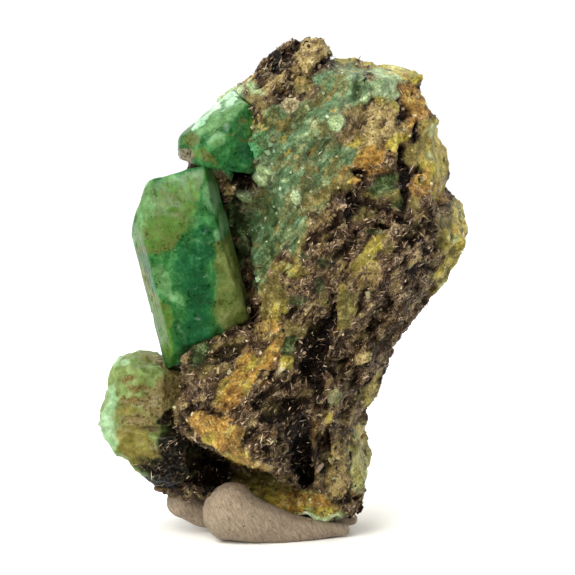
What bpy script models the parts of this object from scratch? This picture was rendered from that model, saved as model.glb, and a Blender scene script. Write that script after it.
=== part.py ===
"""Emerald crystals in mica schist, standing on a pressed lump of display putty.

All working sizes are in millimetres and are turned to metres with MM. The frame: +X to the right
of the show side, -Y towards the viewer, +Z up, origin on the surface that the putty stands on. The
matrix is a loft between unlike sections, chipped and pushed in and out by formula; each crystal is
a block cut along its flat faces; the putty is a set of tapering rolls pressed together.
"""

from itertools import product
from math import cos, radians, sin

import bmesh
import bpy
import numpy as np
from mathutils import Vector

MM = 0.001

# The host rock, level by level from its toe to its peak: height, left, right, front, back.
LEVELS = np.array((
    (0.80, 3.3, 3.3, -2.0, -2.0),
    (0.95, 1.4, 5.4, -4.2, 0.8),
    (2.00, -1.3, 6.5, -5.4, 2.8),
    (2.90, -3.2, 6.9, -5.9, 4.4),
    (3.60, -8.2, 6.8, -6.0, 5.6),
    (4.50, -9.8, 6.8, -6.1, 6.4),
    (5.80, -10.6, 7.0, -6.5, 7.2),
    (9.40, -9.6, 6.8, -7.8, 8.0),
    (11.80, -9.0, 7.7, -8.0, 8.6),
    (13.60, -7.8, 8.6, -7.9, 9.0),
    (15.20, -5.8, 9.2, -7.7, 9.2),
    (17.00, -4.3, 10.7, -7.5, 9.3),
    (20.20, -3.2, 13.6, -7.2, 9.4),
    (22.00, -3.3, 14.2, -7.1, 9.3),
    (25.20, -3.9, 16.0, -6.8, 9.0),
    (26.80, -4.7, 15.4, -6.6, 8.8),
    (28.30, -5.7, 14.0, -6.4, 8.5),
    (31.00, -7.4, 13.5, -6.0, 7.8),
    (32.60, -7.4, 12.7, -5.8, 7.3),
    (34.30, -5.9, 12.6, -5.4, 6.8),
    (35.90, -4.3, 11.9, -4.9, 6.2),
    (37.50, -2.6, 11.5, -4.2, 5.4),
    (38.30, -2.0, 8.1, -3.6, 4.8),
    (39.20, -0.8, 5.3, -3.0, 4.0),
    (40.20, 0.4, 4.8, -2.1, 3.0),
    (40.80, 1.9, 4.2, -1.0, 1.8),
    (41.00, 3.0, 3.0, 0.4, 0.4),
))
SECTION_POWER = 2.7  # 2 would be an ellipse, and more is squarer
CORE_LOW, CORE_HIGH = 5.0, 36.0  # the rock's core line, which the chips point away from
ROCK_SUBDIVISIONS = 5

# Chips broken off the rock: their width, their depth, how far each leans, and a seed. They are
# longer along the mica's layers, which rise to the right across the show side.
CHIPS = (
    (10.5, 2.2, 0.9, 11),
    (4.2, 1.5, 0.9, 23),
    (2.0, 0.75, 0.8, 37),
)
CHIP_LEVEL = 0.12  # the chips' relief is counted from here, so that they don't swell the rock
LAYERS_RISE = 52  # degrees
LAYERS_STRETCH = 1.7

# Lumps, ledges, pits and slots: middle, reach (along, deep, across), the tilt of "along" in the
# front plane in degrees, and how far each moves the surface.
PUSHES = (
    ((-3.0, -7.6, 9.8), (5.6, 5.0, 2.9), -24, (-0.3, -1.9, -0.5)),  # rusty feldspar brow
    ((-3.4, -5.5, 5.6), (5.6, 6.0, 1.5), -27, (0.0, 6.0, 0.5)),  # dark hollow under the brow
    ((-2.4, -6.5, 3.4), (2.2, 5.0, 1.3), -20, (0.2, 3.2, 0.0)),  # hollow above the toe
    ((-2.0, -6.0, 27.0), (3.4, 5.0, 1.7), 75, (0.3, 2.9, 0.0)),  # shadowed gap by the prism
    ((-1.5, -6.0, 20.0), (4.0, 5.0, 0.7), 106, (0.2, 1.8, 0.0)),  # crack beside the prism
    ((-2.6, -6.0, 30.4), (0.9, 5.0, 0.8), 0, (0.0, 2.6, 0.0)),  # pit by the upper emerald
    ((4.9, -5.6, 34.6), (1.9, 5.0, 1.4), 30, (0.0, -1.1, 0.2)),  # pale lens of beryl
    ((8.4, -5.0, 37.0), (2.6, 5.0, 1.4), -20, (0.0, -0.9, 0.2)),  # green knob under the peak
    ((6.8, -5.0, 37.2), (1.6, 5.0, 0.5), 80, (0.0, 1.1, 0.0)),  # groove beside the knob
    ((12.4, -4.0, 33.0), (4.0, 5.0, 1.6), 85, (0.3, -0.7, 0.0)),  # yellow rim, upper right
    ((14.4, -3.0, 25.8), (2.6, 5.0, 1.6), 80, (0.3, -0.8, 0.0)),  # yellow rim, right lobe
    ((8.4, -7.0, 27.6), (4.4, 5.0, 1.6), 60, (0.0, 1.3, 0.0)),  # schist hollow, centre right
    ((3.2, -7.5, 24.0), (7.0, 5.0, 1.8), 70, (0.0, -1.1, 0.0)),  # ridge down the middle
    ((8.6, -7.5, 20.6), (4.4, 5.0, 1.4), 50, (0.0, -0.8, 0.0)),  # schist rib, right
    ((6.6, -7.5, 17.0), (4.4, 5.0, 1.0), 52, (0.0, 1.0, 0.0)),  # furrow along the layers
    ((2.5, -8.0, 6.2), (2.3, 5.0, 0.6), 96, (0.0, 2.1, 0.0)),  # left slot in the black mica
    ((4.0, -8.0, 7.2), (2.7, 5.0, 0.55), 96, (0.0, 1.7, 0.0)),  # right slot in the black mica
    ((2.4, -8.0, 13.6), (3.2, 5.0, 0.8), 60, (0.0, 1.2, 0.0)),  # dark cleft above the slots
    ((-5.4, -7.0, 13.2), (3.8, 5.0, 1.1), 48, (0.4, 1.3, 0.0)),  # mica band under the prism
    ((-4.5, 4.6, 21.0), (8.0, 4.6, 4.5), 90, (-3.4, 0.0, 0.0)),  # ledge that backs the prism
    ((9.0, 8.5, 12.0), (5.0, 5.0, 4.0), 50, (0.0, -2.4, 0.0)),  # broken hollow, lower back
    ((0.0, 8.5, 30.0), (5.0, 5.0, 3.6), 20, (0.0, -1.8, 0.0)),  # broken hollow, upper back
    ((6.0, 9.0, 22.0), (5.0, 4.0, 3.0), 70, (0.0, 1.4, 0.0)),  # swell at the back
)

PUSH_POWER = 1.6  # 1 would be a soft bell, and more gives a push a flat top and a clear edge

GAP = 0.3  # between a crystal and its socket, and between the rock and the putty
BLOCK = 60  # the block that each crystal is cut from
GROUND = 80  # the block that cuts the putty flat


def face(turn, rise, distance):
    """A flat face: its outward direction, turned from the viewer to the right and raised, and
    its distance from the crystal's middle, in degrees and millimetres."""
    return turn, rise, distance


# The big hexagonal prism: its middle, the lean of its axis, and its faces about that axis.
PRISM_MIDDLE = (-6.5, -3.2, 20.4)
PRISM_LEAN = 14.5
PRISM_FACES = (
    face(-9, 0, 4.1), face(51, 0, 3.75), face(111, 0, 3.6),
    face(171, 0, 3.9), face(-129, 0, 3.4), face(-69, 0, 3.3),
    face(-50, 21, 5.9), face(24, 20, 6.6), face(-96, 33, 6.3),
    face(150, 66, 8.3), face(90, -79, 4.6), face(-150, 40, 7.6),
)

# The emerald that shows at the upper left, mostly sunk in the rock.
UPPER_MIDDLE = (-4.6, -2.6, 32.2)
UPPER_LEAN = 0.0
UPPER_FACES = (
    face(-88, 2, 3.1), face(-92, 49, 2.3), face(-52, 30, 3.2), face(-20, 28, 3.7),
    face(-24, -10, 3.5), face(40, -8, 3.2), face(70, 30, 3.4),
    face(180, 0, 3.2), face(-126, 10, 3.3), face(-90, -80, 1.45), face(90, 60, 3.4),
)

# The pale beryl at the lower left: lumps grown together, each a middle and its faces.
BERYL_LUMPS = (
    ((-10.4, -2.8, 12.4), (
        face(-92, 6, 2.9), face(-45, 4, 2.9), face(-5, -6, 3.2), face(48, 0, 3.2),
        face(100, 0, 3.2), face(180, 10, 3.0), face(-135, 0, 3.0),
        face(-80, 62, 3.0), face(70, 72, 2.3), face(0, -80, 3.0))),
    ((-11.0, -2.4, 9.6), (
        face(-90, 4, 3.2), face(-40, 14, 3.1), face(0, 0, 3.1), face(60, 0, 3.0),
        face(120, 0, 3.0), face(180, 0, 2.9), face(-130, 0, 3.0),
        face(-90, 48, 3.0), face(-90, -43, 2.8), face(0, -80, 2.6), face(90, 75, 2.4))),
    ((-9.4, -2.6, 7.2), (
        face(-70, 0, 3.7), face(-30, 8, 3.4), face(10, -10, 3.3), face(70, 0, 3.0),
        face(130, 0, 3.0), face(-170, 0, 3.0), face(-115, 0, 3.5),
        face(-90, -43, 2.2), face(-20, -60, 2.9), face(0, 75, 2.8))),
)

# Small beryl laths that grew in the schist: middle, half sizes, lean in the front plane.
LATHS = (
    ((7.4, -6.9, 23.6), (0.55, 0.9, 1.9), 38),
    ((5.6, -7.4, 19.6), (0.8, 0.8, 1.7), -18),
    ((0.2, -8.1, 12.4), (1.0, 0.8, 0.8), 25),
    ((6.4, -5.4, 11.4), (0.8, 1.2, 1.0), 10),
    ((5.3, -6.8, 9.6), (0.5, 0.7, 1.2), 5),
    ((11.0, -5.2, 29.6), (1.0, 0.8, 1.0), -30),
)
LATH_SIDES = 6

# Display putty: rolls as (start, bend, end, start radius, end radius), pressed onto the ground.
PUTTY_ROLLS = (
    ((-3.6, -4.2, 2.3), (-0.4, -4.9, 1.2), (5.5, -2.5, 1.3), 2.4, 0.8),
    ((-7.2, -0.4, 1.6), (-5.4, 1.6, 1.2), (-1.6, 2.6, 0.9), 1.8, 1.9),
    ((-3.4, -1.4, 0.1), (0.6, -0.4, 0.1), (5.0, -0.2, 0.1), 2.6, 1.35),
)
PUTTY_SEGMENTS, PUTTY_RINGS = 28, 18
PUTTY_PRESS = 0.25  # how strongly a roll's underside flattens

# Colours, as linear red, green and blue, with roughness.
SCHIST = ((0.085, 0.062, 0.040), 0.6)
EMERALD = ((0.03, 0.27, 0.12), 0.2)
UPPER_EMERALD = ((0.04, 0.30, 0.17), 0.25)
PALE_BERYL = ((0.24, 0.44, 0.20), 0.35)
PUTTY = ((0.42, 0.37, 0.33), 0.8)


def clear_scene():
    for obj in list(bpy.data.objects):
        bpy.data.objects.remove(obj, do_unlink=True)


def material(name, colour, roughness):
    made = bpy.data.materials.new(name)
    made.use_nodes = True
    shader = made.node_tree.nodes["Principled BSDF"]
    shader.inputs["Base Color"].default_value = (*colour, 1.0)
    shader.inputs["Roughness"].default_value = roughness
    shader.inputs["Metallic"].default_value = 0.0
    made.diffuse_color = (*colour, 1.0)
    return made


def collection(name):
    made = bpy.data.collections.new(name)
    bpy.context.scene.collection.children.link(made)
    return made


def add_object(name, mesh, home, finish=None):
    obj = bpy.data.objects.new(name, mesh)
    home.objects.link(obj)
    if finish:
        mesh.materials.append(finish)
    return obj


def cell_random(cells, seed):
    """A repeatable number from 0 to 1 for each whole-numbered cell, by mixing its bits."""
    mixed = (cells[..., 0] * 73856093) ^ (cells[..., 1] * 19349663)
    mixed = (mixed ^ (cells[..., 2] * 83492791) ^ (seed * 26544357)) & 0xFFFFFFFF
    mixed = ((mixed ^ (mixed >> 15)) * 0x2C1B3C6D) & 0xFFFFFFFF
    mixed = ((mixed ^ (mixed >> 12)) * 0x297A2D39) & 0xFFFFFFFF
    return ((mixed ^ (mixed >> 15)) & 0xFFFFFF) / 0xFFFFFF


def chips(points, size, lean, seed):
    """Chipped relief: the lowest of many leaning bowls, one to a cell, so that the bowls are
    facets and the lines where they meet are sharp ridges. It runs from about -0.4 to 0.6."""
    scaled = points / size
    home = np.floor(scaled).astype(np.int64)
    lowest = np.full(len(points), np.inf)
    for step in product((-1, 0, 1), repeat=3):
        cells = home + np.array(step)
        site = cells + np.stack([cell_random(cells, seed + k) for k in range(3)], axis=1)
        slope = np.stack([cell_random(cells, seed + 3 + k) for k in range(3)], axis=1) * 2 - 1
        away = scaled - site
        bowl = (away ** 2).sum(axis=1) + lean * (away * slope).sum(axis=1)
        lowest = np.minimum(lowest, bowl)
    return lowest


def along_layers(points):
    """The same points, squeezed along the mica's layers so that chips made from them come out
    longer that way."""
    turn = radians(LAYERS_RISE)
    run = np.array([cos(turn), 0.0, sin(turn)])
    return points - np.outer(points @ run, run) * (1 - 1 / LAYERS_STRETCH)


def rock_surface(around, up):
    """The rock's surface. around is the angle from +X towards +Y and up runs 0 to 1 from toe to
    peak along the levels; the section is a squared ellipse, chipped away from the core line."""
    steps = np.linalg.norm(np.diff(LEVELS, axis=0), axis=1)
    along = np.concatenate(([0.0], np.cumsum(steps)))
    at = up * along[-1]
    height, left, right, front, back = (np.interp(at, along, LEVELS[:, k]) for k in range(5))
    across, deep = np.cos(around), np.sin(around)
    squared = (np.abs(across) ** SECTION_POWER + np.abs(deep) ** SECTION_POWER)
    squared = squared ** (-1 / SECTION_POWER)
    middle = np.stack([(left + right) / 2, (front + back) / 2, height], axis=1)
    points = middle + np.stack([
        (right - left) / 2 * across * squared,
        (back - front) / 2 * deep * squared,
        np.zeros_like(height),
    ], axis=1)
    core = middle.copy()
    core[:, 2] = np.clip(height, CORE_LOW, CORE_HIGH)
    outward = points - core
    outward /= np.maximum(np.linalg.norm(outward, axis=1, keepdims=True), 1e-9)
    whole = along_layers(points)
    for size, depth, lean, seed in CHIPS:
        points = points + outward * (depth * (chips(whole, size, lean, seed) - CHIP_LEVEL))[:, None]
    for centre, reach, tilt, push in PUSHES:
        away = points - np.array(centre)
        turn = radians(tilt)
        along = (away[:, 0] * cos(turn) + away[:, 2] * sin(turn)) / reach[0]
        aside = (away[:, 2] * cos(turn) - away[:, 0] * sin(turn)) / reach[2]
        far = along ** 2 + (away[:, 1] / reach[1]) ** 2 + aside ** 2
        points = points + np.exp(-far ** PUSH_POWER)[:, None] * np.array(push)
    return points


def rock_mesh(name, grow=0.0):
    """A ball whose longitude and latitude become the way round the rock and the way up it. grow
    moves the rock's skin outwards."""
    form = bmesh.new()
    bmesh.ops.create_icosphere(form, subdivisions=ROCK_SUBDIVISIONS, radius=1.0)
    ball = np.array([vert.co for vert in form.verts])
    around = np.arctan2(ball[:, 1], ball[:, 0])
    up = np.arccos(np.clip(-ball[:, 2], -1, 1)) / np.pi
    for vert, place in zip(form.verts, rock_surface(around, up)):
        vert.co = Vector(place) * MM
    form.normal_update()
    for vert in form.verts:
        vert.co += vert.normal * grow * MM
    mesh = bpy.data.meshes.new(name)
    form.to_mesh(mesh)
    form.free()
    return mesh


def face_normal(turn, rise, lean):
    """A face's outward direction, for a crystal whose axis leans to the left by lean."""
    turn, rise, lean = radians(turn), radians(rise), radians(lean)
    side = Vector((sin(turn) * cos(rise), -cos(turn) * cos(rise), sin(rise)))
    return Vector((
        side.x * cos(lean) - side.z * sin(lean),
        side.y,
        side.x * sin(lean) + side.z * cos(lean),
    ))


def cut_block(form, middle, faces, lean, grow=0.0):
    """Adds a crystal to form: a block with everything outside each flat face cut away."""
    block = bmesh.new()
    bmesh.ops.create_cube(block, size=BLOCK * MM)
    bmesh.ops.translate(block, verts=block.verts, vec=Vector(middle) * MM)
    for turn, rise, distance in faces:
        normal = face_normal(turn, rise, lean)
        on_face = (Vector(middle) + normal * (distance + grow)) * MM
        cut = bmesh.ops.bisect_plane(
            block, geom=block.verts[:] + block.edges[:] + block.faces[:],
            plane_co=on_face, plane_no=normal, clear_outer=True, dist=1e-7,
        )
        rim = [item for item in cut["geom_cut"] if isinstance(item, bmesh.types.BMEdge)]
        if rim:
            bmesh.ops.edgeloop_fill(block, edges=rim)
    bmesh.ops.recalc_face_normals(block, faces=block.faces)
    spare = bpy.data.meshes.new("block")
    block.to_mesh(spare)
    block.free()
    form.from_mesh(spare)
    bpy.data.meshes.remove(spare)


def crystal(name, middle, faces, lean, home, finish=None, grow=0.0):
    form = bmesh.new()
    cut_block(form, middle, faces, lean, grow)
    mesh = bpy.data.meshes.new(name)
    form.to_mesh(mesh)
    form.free()
    return add_object(name, mesh, home, finish)


def boolean(obj, other, operation):
    step = obj.modifiers.new(operation.lower(), "BOOLEAN")
    step.object = other
    step.operation = operation
    step.solver = "EXACT"
    return step


def beryl_cluster(name, home, helpers, finish=None, grow=0.0):
    """The lumps of pale beryl, joined in one solid."""
    first, *others = (
        crystal(f"{name}_lump_{number}" if number else name, middle, faces, 0.0,
                helpers if number else home, None if number else finish, grow)
        for number, (middle, faces) in enumerate(BERYL_LUMPS)
    )
    for other in others:
        hide(other)
        boolean(first, other, "UNION")
    return first


def lath(number, middle, half, lean, helpers):
    """A small six-sided crystal with flat ends, sunk in the schist."""
    form = bmesh.new()
    bmesh.ops.create_cone(
        form, cap_ends=True, segments=LATH_SIDES, radius1=1.0, radius2=0.86, depth=2.0)
    turn = radians(lean)
    for vert in form.verts:
        x, y, z = vert.co.x * half[0], vert.co.y * half[1], vert.co.z * half[2]
        vert.co = Vector((
            middle[0] + x * cos(turn) + z * sin(turn),
            middle[1] + y,
            middle[2] - x * sin(turn) + z * cos(turn),
        )) * MM
    mesh = bpy.data.meshes.new(f"lath_{number}")
    form.to_mesh(mesh)
    form.free()
    return hide(add_object(f"lath_{number}", mesh, helpers))


def putty_roll(number, start, bend, end, start_radius, end_radius, home):
    """A tapering roll with round ends that curves from start to end as if drawn towards bend,
    and whose underside is pressed towards the ground."""
    form = bmesh.new()
    bmesh.ops.create_uvsphere(
        form, u_segments=PUTTY_SEGMENTS, v_segments=PUTTY_RINGS, radius=1.0)
    start, bend, end = Vector(start), Vector(bend), Vector(end)
    for vert in form.verts:
        share = min(max(vert.co.z + 0.5, 0.0), 1.0)
        centre = start.lerp(bend, share).lerp(bend.lerp(end, share), share)
        along = (bend - start).lerp(end - bend, share).normalized()
        side = along.cross(Vector((0, 0, 1))).normalized()
        over = side.cross(along)
        radius = start_radius + (end_radius - start_radius) * share
        stretch = min(max(abs(vert.co.z) * 2 - 1, 0.0), 1.0) * (1 if vert.co.z > 0 else -1)
        ring = Vector((vert.co.x, vert.co.y, 0.0))
        if ring.length > 0:
            ring = ring.normalized() * (1 - stretch * stretch) ** 0.5
        place = centre + (side * ring.x + over * ring.y + along * stretch) * radius
        if place.z < 0:
            place.z *= PUTTY_PRESS
        vert.co = place * MM
    mesh = bpy.data.meshes.new(f"putty_roll_{number}")
    form.to_mesh(mesh)
    form.free()
    return add_object(f"putty_roll_{number}", mesh, home)


def hide(obj):
    """A cutter or a helper, which isn't part of the object."""
    obj.hide_render = True
    obj.display_type = "WIRE"
    return obj


def keep_largest(obj):
    """Works out the cuts and drops any crumb of rock that they leave loose."""
    bpy.context.view_layer.update()
    shaped = obj.evaluated_get(bpy.context.evaluated_depsgraph_get())
    form = bmesh.new()
    form.from_mesh(shaped.to_mesh())
    shaped.to_mesh_clear()
    left, pieces = set(form.verts), []
    while left:
        piece, edge = set(), [left.pop()]
        while edge:
            vert = edge.pop()
            piece.add(vert)
            joined = {link.other_vert(vert) for link in vert.link_edges} & left
            left -= joined
            edge.extend(joined)
        pieces.append(piece)
    pieces.sort(key=len)
    crumbs = [vert for piece in pieces[:-1] for vert in piece]
    bmesh.ops.delete(form, geom=crumbs, context="VERTS")
    obj.modifiers.clear()
    form.to_mesh(obj.data)
    form.free()


def ground_cutter(helpers):
    """A block whose top is the ground."""
    mesh = bpy.data.meshes.new("ground_cutter")
    form = bmesh.new()
    bmesh.ops.create_cube(form, size=GROUND * MM)
    bmesh.ops.translate(form, verts=form.verts, vec=(0, 0, -GROUND / 2 * MM))
    form.to_mesh(mesh)
    form.free()
    return hide(add_object("ground_cutter", mesh, helpers))


def main():
    clear_scene()
    specimen = collection("emerald_in_matrix")
    helpers = collection("cutters")

    matrix = add_object("matrix", rock_mesh("matrix"), specimen, material("mica_schist", *SCHIST))
    for number, (middle, half, lean) in enumerate(LATHS):
        boolean(matrix, lath(number, middle, half, lean, helpers), "UNION")

    crystal("emerald_prism", PRISM_MIDDLE, PRISM_FACES, PRISM_LEAN, specimen,
            material("emerald", *EMERALD))
    crystal("upper_emerald", UPPER_MIDDLE, UPPER_FACES, UPPER_LEAN, specimen,
            material("upper_emerald", *UPPER_EMERALD))
    beryl_cluster("pale_beryl", specimen, helpers, material("pale_beryl", *PALE_BERYL))

    sockets = (
        crystal("prism_socket", PRISM_MIDDLE, PRISM_FACES, PRISM_LEAN, helpers, grow=GAP),
        crystal("upper_socket", UPPER_MIDDLE, UPPER_FACES, UPPER_LEAN, helpers, grow=GAP),
        beryl_cluster("beryl_socket", helpers, helpers, grow=GAP),
    )
    for socket in sockets:
        boolean(matrix, hide(socket), "DIFFERENCE")
    keep_largest(matrix)

    rolls = [putty_roll(number, *roll, specimen if number == 0 else helpers)
             for number, roll in enumerate(PUTTY_ROLLS)]
    putty = rolls[0]
    putty.name = "mounting_putty"
    putty.data.materials.append(material("putty", *PUTTY))
    for roll in rolls[1:]:
        boolean(putty, hide(roll), "UNION")
    press = add_object("rock_press", rock_mesh("rock_press", GAP), helpers)
    boolean(putty, hide(press), "DIFFERENCE").use_self = True
    boolean(putty, sockets[2], "DIFFERENCE")
    boolean(putty, ground_cutter(helpers), "DIFFERENCE")


main()
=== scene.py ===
"""Finish for the emerald in matrix: a broken piece of mica schist with a big emerald prism, a second
emerald and pale beryl grown in it, on a lump of grey display putty.

Working sizes are in millimetres, turned to metres where a mesh is made. +X is the viewer's right, -Y
comes out of the show side and +Z is up, as in the solids. Every shape is worked out on whole arrays:
a skin is a function of two parameters on a grid, and small things are one template placed many times.
"""

from itertools import product
from math import cos, pi, radians, sin

import bpy
import numpy as np
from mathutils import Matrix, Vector


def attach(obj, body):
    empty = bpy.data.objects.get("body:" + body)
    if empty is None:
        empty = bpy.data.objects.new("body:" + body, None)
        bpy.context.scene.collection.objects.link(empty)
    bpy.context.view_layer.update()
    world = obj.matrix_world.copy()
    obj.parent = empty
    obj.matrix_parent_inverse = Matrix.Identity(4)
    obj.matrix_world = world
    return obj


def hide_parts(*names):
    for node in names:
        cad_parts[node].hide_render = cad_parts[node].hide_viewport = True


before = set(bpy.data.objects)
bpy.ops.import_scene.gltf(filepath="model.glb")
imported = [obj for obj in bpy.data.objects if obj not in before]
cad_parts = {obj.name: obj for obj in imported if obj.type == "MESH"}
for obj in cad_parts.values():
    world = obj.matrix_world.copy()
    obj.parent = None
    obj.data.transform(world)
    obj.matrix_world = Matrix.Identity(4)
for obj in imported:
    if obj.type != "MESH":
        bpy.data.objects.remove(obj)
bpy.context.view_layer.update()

MM = 0.001

# The rock's form, as the solids have it

# Level by level from toe to peak: height, left, right, front, back.
LEVELS = np.array((
    (0.80, 3.3, 3.3, -2.0, -2.0),
    (0.95, 1.4, 5.4, -4.2, 0.8),
    (2.00, -1.3, 6.5, -5.4, 2.8),
    (2.90, -3.2, 6.9, -5.9, 4.4),
    (3.60, -8.2, 6.8, -6.0, 5.6),
    (4.50, -9.8, 6.8, -6.1, 6.4),
    (5.80, -10.6, 7.0, -6.5, 7.2),
    (9.40, -9.6, 6.8, -7.8, 8.0),
    (11.80, -9.0, 7.7, -8.0, 8.6),
    (13.60, -7.8, 8.6, -7.9, 9.0),
    (15.20, -5.8, 9.2, -7.7, 9.2),
    (17.00, -4.3, 10.7, -7.5, 9.3),
    (20.20, -3.2, 13.6, -7.2, 9.4),
    (22.00, -3.3, 14.2, -7.1, 9.3),
    (25.20, -3.9, 16.0, -6.8, 9.0),
    (26.80, -4.7, 15.4, -6.6, 8.8),
    (28.30, -5.7, 14.0, -6.4, 8.5),
    (31.00, -7.4, 13.5, -6.0, 7.8),
    (32.60, -7.4, 12.7, -5.8, 7.3),
    (34.30, -5.9, 12.6, -5.4, 6.8),
    (35.90, -4.3, 11.9, -4.9, 6.2),
    (37.50, -2.6, 11.5, -4.2, 5.4),
    (38.30, -2.0, 8.1, -3.6, 4.8),
    (39.20, -0.8, 5.3, -3.0, 4.0),
    (40.20, 0.4, 4.8, -2.1, 3.0),
    (40.80, 1.9, 4.2, -1.0, 1.8),
    (41.00, 3.0, 3.0, 0.4, 0.4),
))
SECTION_POWER = 2.7
CORE_LOW, CORE_HIGH = 5.0, 36.0
# Chipped relief: size, depth, lean, seed.
CHIPS = (
    (10.5, 2.2, 0.9, 11),
    (4.2, 1.5, 0.9, 23),
    (2.0, 0.75, 0.8, 37),
)
CHIP_LEVEL = 0.12
LAYERS_RISE = 52
LAYERS_RUN = np.array([cos(radians(LAYERS_RISE)), 0.0, sin(radians(LAYERS_RISE))])
LAYERS_SQUARE = np.array([-sin(radians(LAYERS_RISE)), 0.0, cos(radians(LAYERS_RISE))])
LAYERS_STRETCH = 1.7
# Places pushed in or out: centre, reach along, deep and across, tilt, push.
PUSHES = (
    ((-3.0, -7.6, 9.8), (5.6, 5.0, 2.9), -24, (-0.3, -1.9, -0.5)),
    ((-3.4, -5.5, 5.6), (5.6, 6.0, 1.5), -27, (0.0, 6.0, 0.5)),
    ((-2.4, -6.5, 3.4), (2.2, 5.0, 1.3), -20, (0.2, 3.2, 0.0)),
    ((-2.0, -6.0, 27.0), (3.4, 5.0, 1.7), 75, (0.3, 2.9, 0.0)),
    ((-1.5, -6.0, 20.0), (4.0, 5.0, 0.7), 106, (0.2, 1.8, 0.0)),
    ((-2.6, -6.0, 30.4), (0.9, 5.0, 0.8), 0, (0.0, 2.6, 0.0)),
    ((4.9, -5.6, 34.6), (1.9, 5.0, 1.4), 30, (0.0, -1.1, 0.2)),
    ((8.4, -5.0, 37.0), (2.6, 5.0, 1.4), -20, (0.0, -0.9, 0.2)),
    ((6.8, -5.0, 37.2), (1.6, 5.0, 0.5), 80, (0.0, 1.1, 0.0)),
    ((12.4, -4.0, 33.0), (4.0, 5.0, 1.6), 85, (0.3, -0.7, 0.0)),
    ((14.4, -3.0, 25.8), (2.6, 5.0, 1.6), 80, (0.3, -0.8, 0.0)),
    ((8.4, -7.0, 27.6), (4.4, 5.0, 1.6), 60, (0.0, 1.3, 0.0)),
    ((3.2, -7.5, 24.0), (7.0, 5.0, 1.8), 70, (0.0, -1.1, 0.0)),
    ((8.6, -7.5, 20.6), (4.4, 5.0, 1.4), 50, (0.0, -0.8, 0.0)),
    ((6.6, -7.5, 17.0), (4.4, 5.0, 1.0), 52, (0.0, 1.0, 0.0)),
    ((2.5, -8.0, 6.2), (2.3, 5.0, 0.6), 96, (0.0, 2.1, 0.0)),
    ((4.0, -8.0, 7.2), (2.7, 5.0, 0.55), 96, (0.0, 1.7, 0.0)),
    ((2.4, -8.0, 13.6), (3.2, 5.0, 0.8), 60, (0.0, 1.2, 0.0)),
    ((-5.4, -7.0, 13.2), (3.8, 5.0, 1.1), 48, (0.2, 0.3, 0.0)),
    ((-4.5, 4.6, 21.0), (8.0, 4.6, 4.5), 90, (-3.4, 0.0, 0.0)),
    ((9.0, 8.5, 12.0), (5.0, 5.0, 4.0), 50, (0.0, -2.4, 0.0)),
    ((0.0, 8.5, 30.0), (5.0, 5.0, 3.6), 20, (0.0, -1.8, 0.0)),
    ((6.0, 9.0, 22.0), (5.0, 4.0, 3.0), 70, (0.0, 1.4, 0.0)),
    # the schist over the prism's lower corner, the right edge and the peak
    ((-5.2, -6.8, 14.8), (3.6, 5.0, 1.8), 50, (-0.3, -2.0, 0.0)),
    ((-4.4, -6.2, 15.6), (2.8, 4.0, 1.7), 50, (-2.2, -1.2, 0.6)),
    ((9.0, 0.0, 7.2), (1.7, 6.0, 1.9), 0, (-1.5, 0.0, 0.0)),
    ((8.4, -1.0, 39.2), (1.8, 5.0, 1.2), 0, (-0.8, 0.0, -0.2)),
    ((8.0, -1.0, 11.2), (1.3, 5.0, 1.7), 0, (0.7, 0.0, 0.0)),
    ((15.6, -1.5, 25.6), (1.4, 5.0, 1.1), 0, (-0.5, 0.0, 0.0)),
    ((-5.8, -2.5, 33.4), (3.6, 5.0, 1.8), 48, (0.8, 0.6, -0.8)),
    ((14.6, -1.5, 22.6), (2.6, 5.0, 2.0), 80, (0.7, 0.0, -0.1)),
    ((14.8, -1.5, 27.2), (1.6, 5.0, 1.6), 0, (-0.6, 0.0, 0.0)),
    ((12.8, 0.0, 34.6), (3.6, 6.0, 2.2), 85, (-0.6, 0.0, 0.0)),
    ((4.6, -1.0, 39.8), (2.6, 6.0, 1.6), -35, (-0.5, 0.0, -0.5)),
    ((-3.4, -1.0, 38.4), (2.4, 6.0, 1.6), 40, (0.3, 0.0, -0.3)),
    ((-1.5, -6.0, 20.0), (4.0, 5.0, 0.9), 106, (-0.1, -0.9, 0.0)),
)
PUSH_POWER = 1.6

# The grid that carries the rock, closer together on the show side.
ROCK_ROWS, ROCK_COLUMNS = 296, 334
FRONT_SHARE = 0.36
SHELF_SHARE = 0.35

# The crystals' faces: turn from the viewer to the right, rise, distance from the middle

PRISM_MIDDLE, PRISM_LEAN = (-6.5, -3.2, 20.4), 14.5
PRISM_FACES = (
    (-10, 0, 4.05), (23, -7.5, 4.7), (-72, 1, 3.72), (-99, 0, 3.8), (-13.7, 10.4, 4.91), (-14, 22, 6.2),
    (0.8, 7.2, 5.15), (22.3, -30.8, 5.1), (-45.7, -19.4, 5.91), (78, 0, 4.14), (180, 80, 9.39),
    (-96, 33, 6.4), (39.4, -33.8, 4.76), (-2.7, -49.9, 5.19), (111, 0, 3.6), (171, 0, 3.9),
    (-129, 0, 3.4), (-50, 21, 5.9), (90, -79, 4.6), (-150, 40, 7.6),
)
BROKEN_TOP = (24.6, 26.4)  # between these levels the prism turns rougher
UPPER_MIDDLE = (-4.6, -2.6, 32.2)
UPPER_FACES = (
    (6, -6, 3.9), (36, 8, 3.95), (-22, 38, 3.58), (-46, 0, 3.24), (-88, 2, 3.1), (-62, 62, 3.05),
    (-92, 49, 2.6), (75, 20, 4.78), (180, 0, 3.2), (-126, 10, 3.3), (-90, -80, 1.45), (90, 60, 4.4),
    (60, -35, 3.8),
)
UPPER_CENTRE = (-3.6, -2.9, 32.6)  # well inside all its faces
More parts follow.
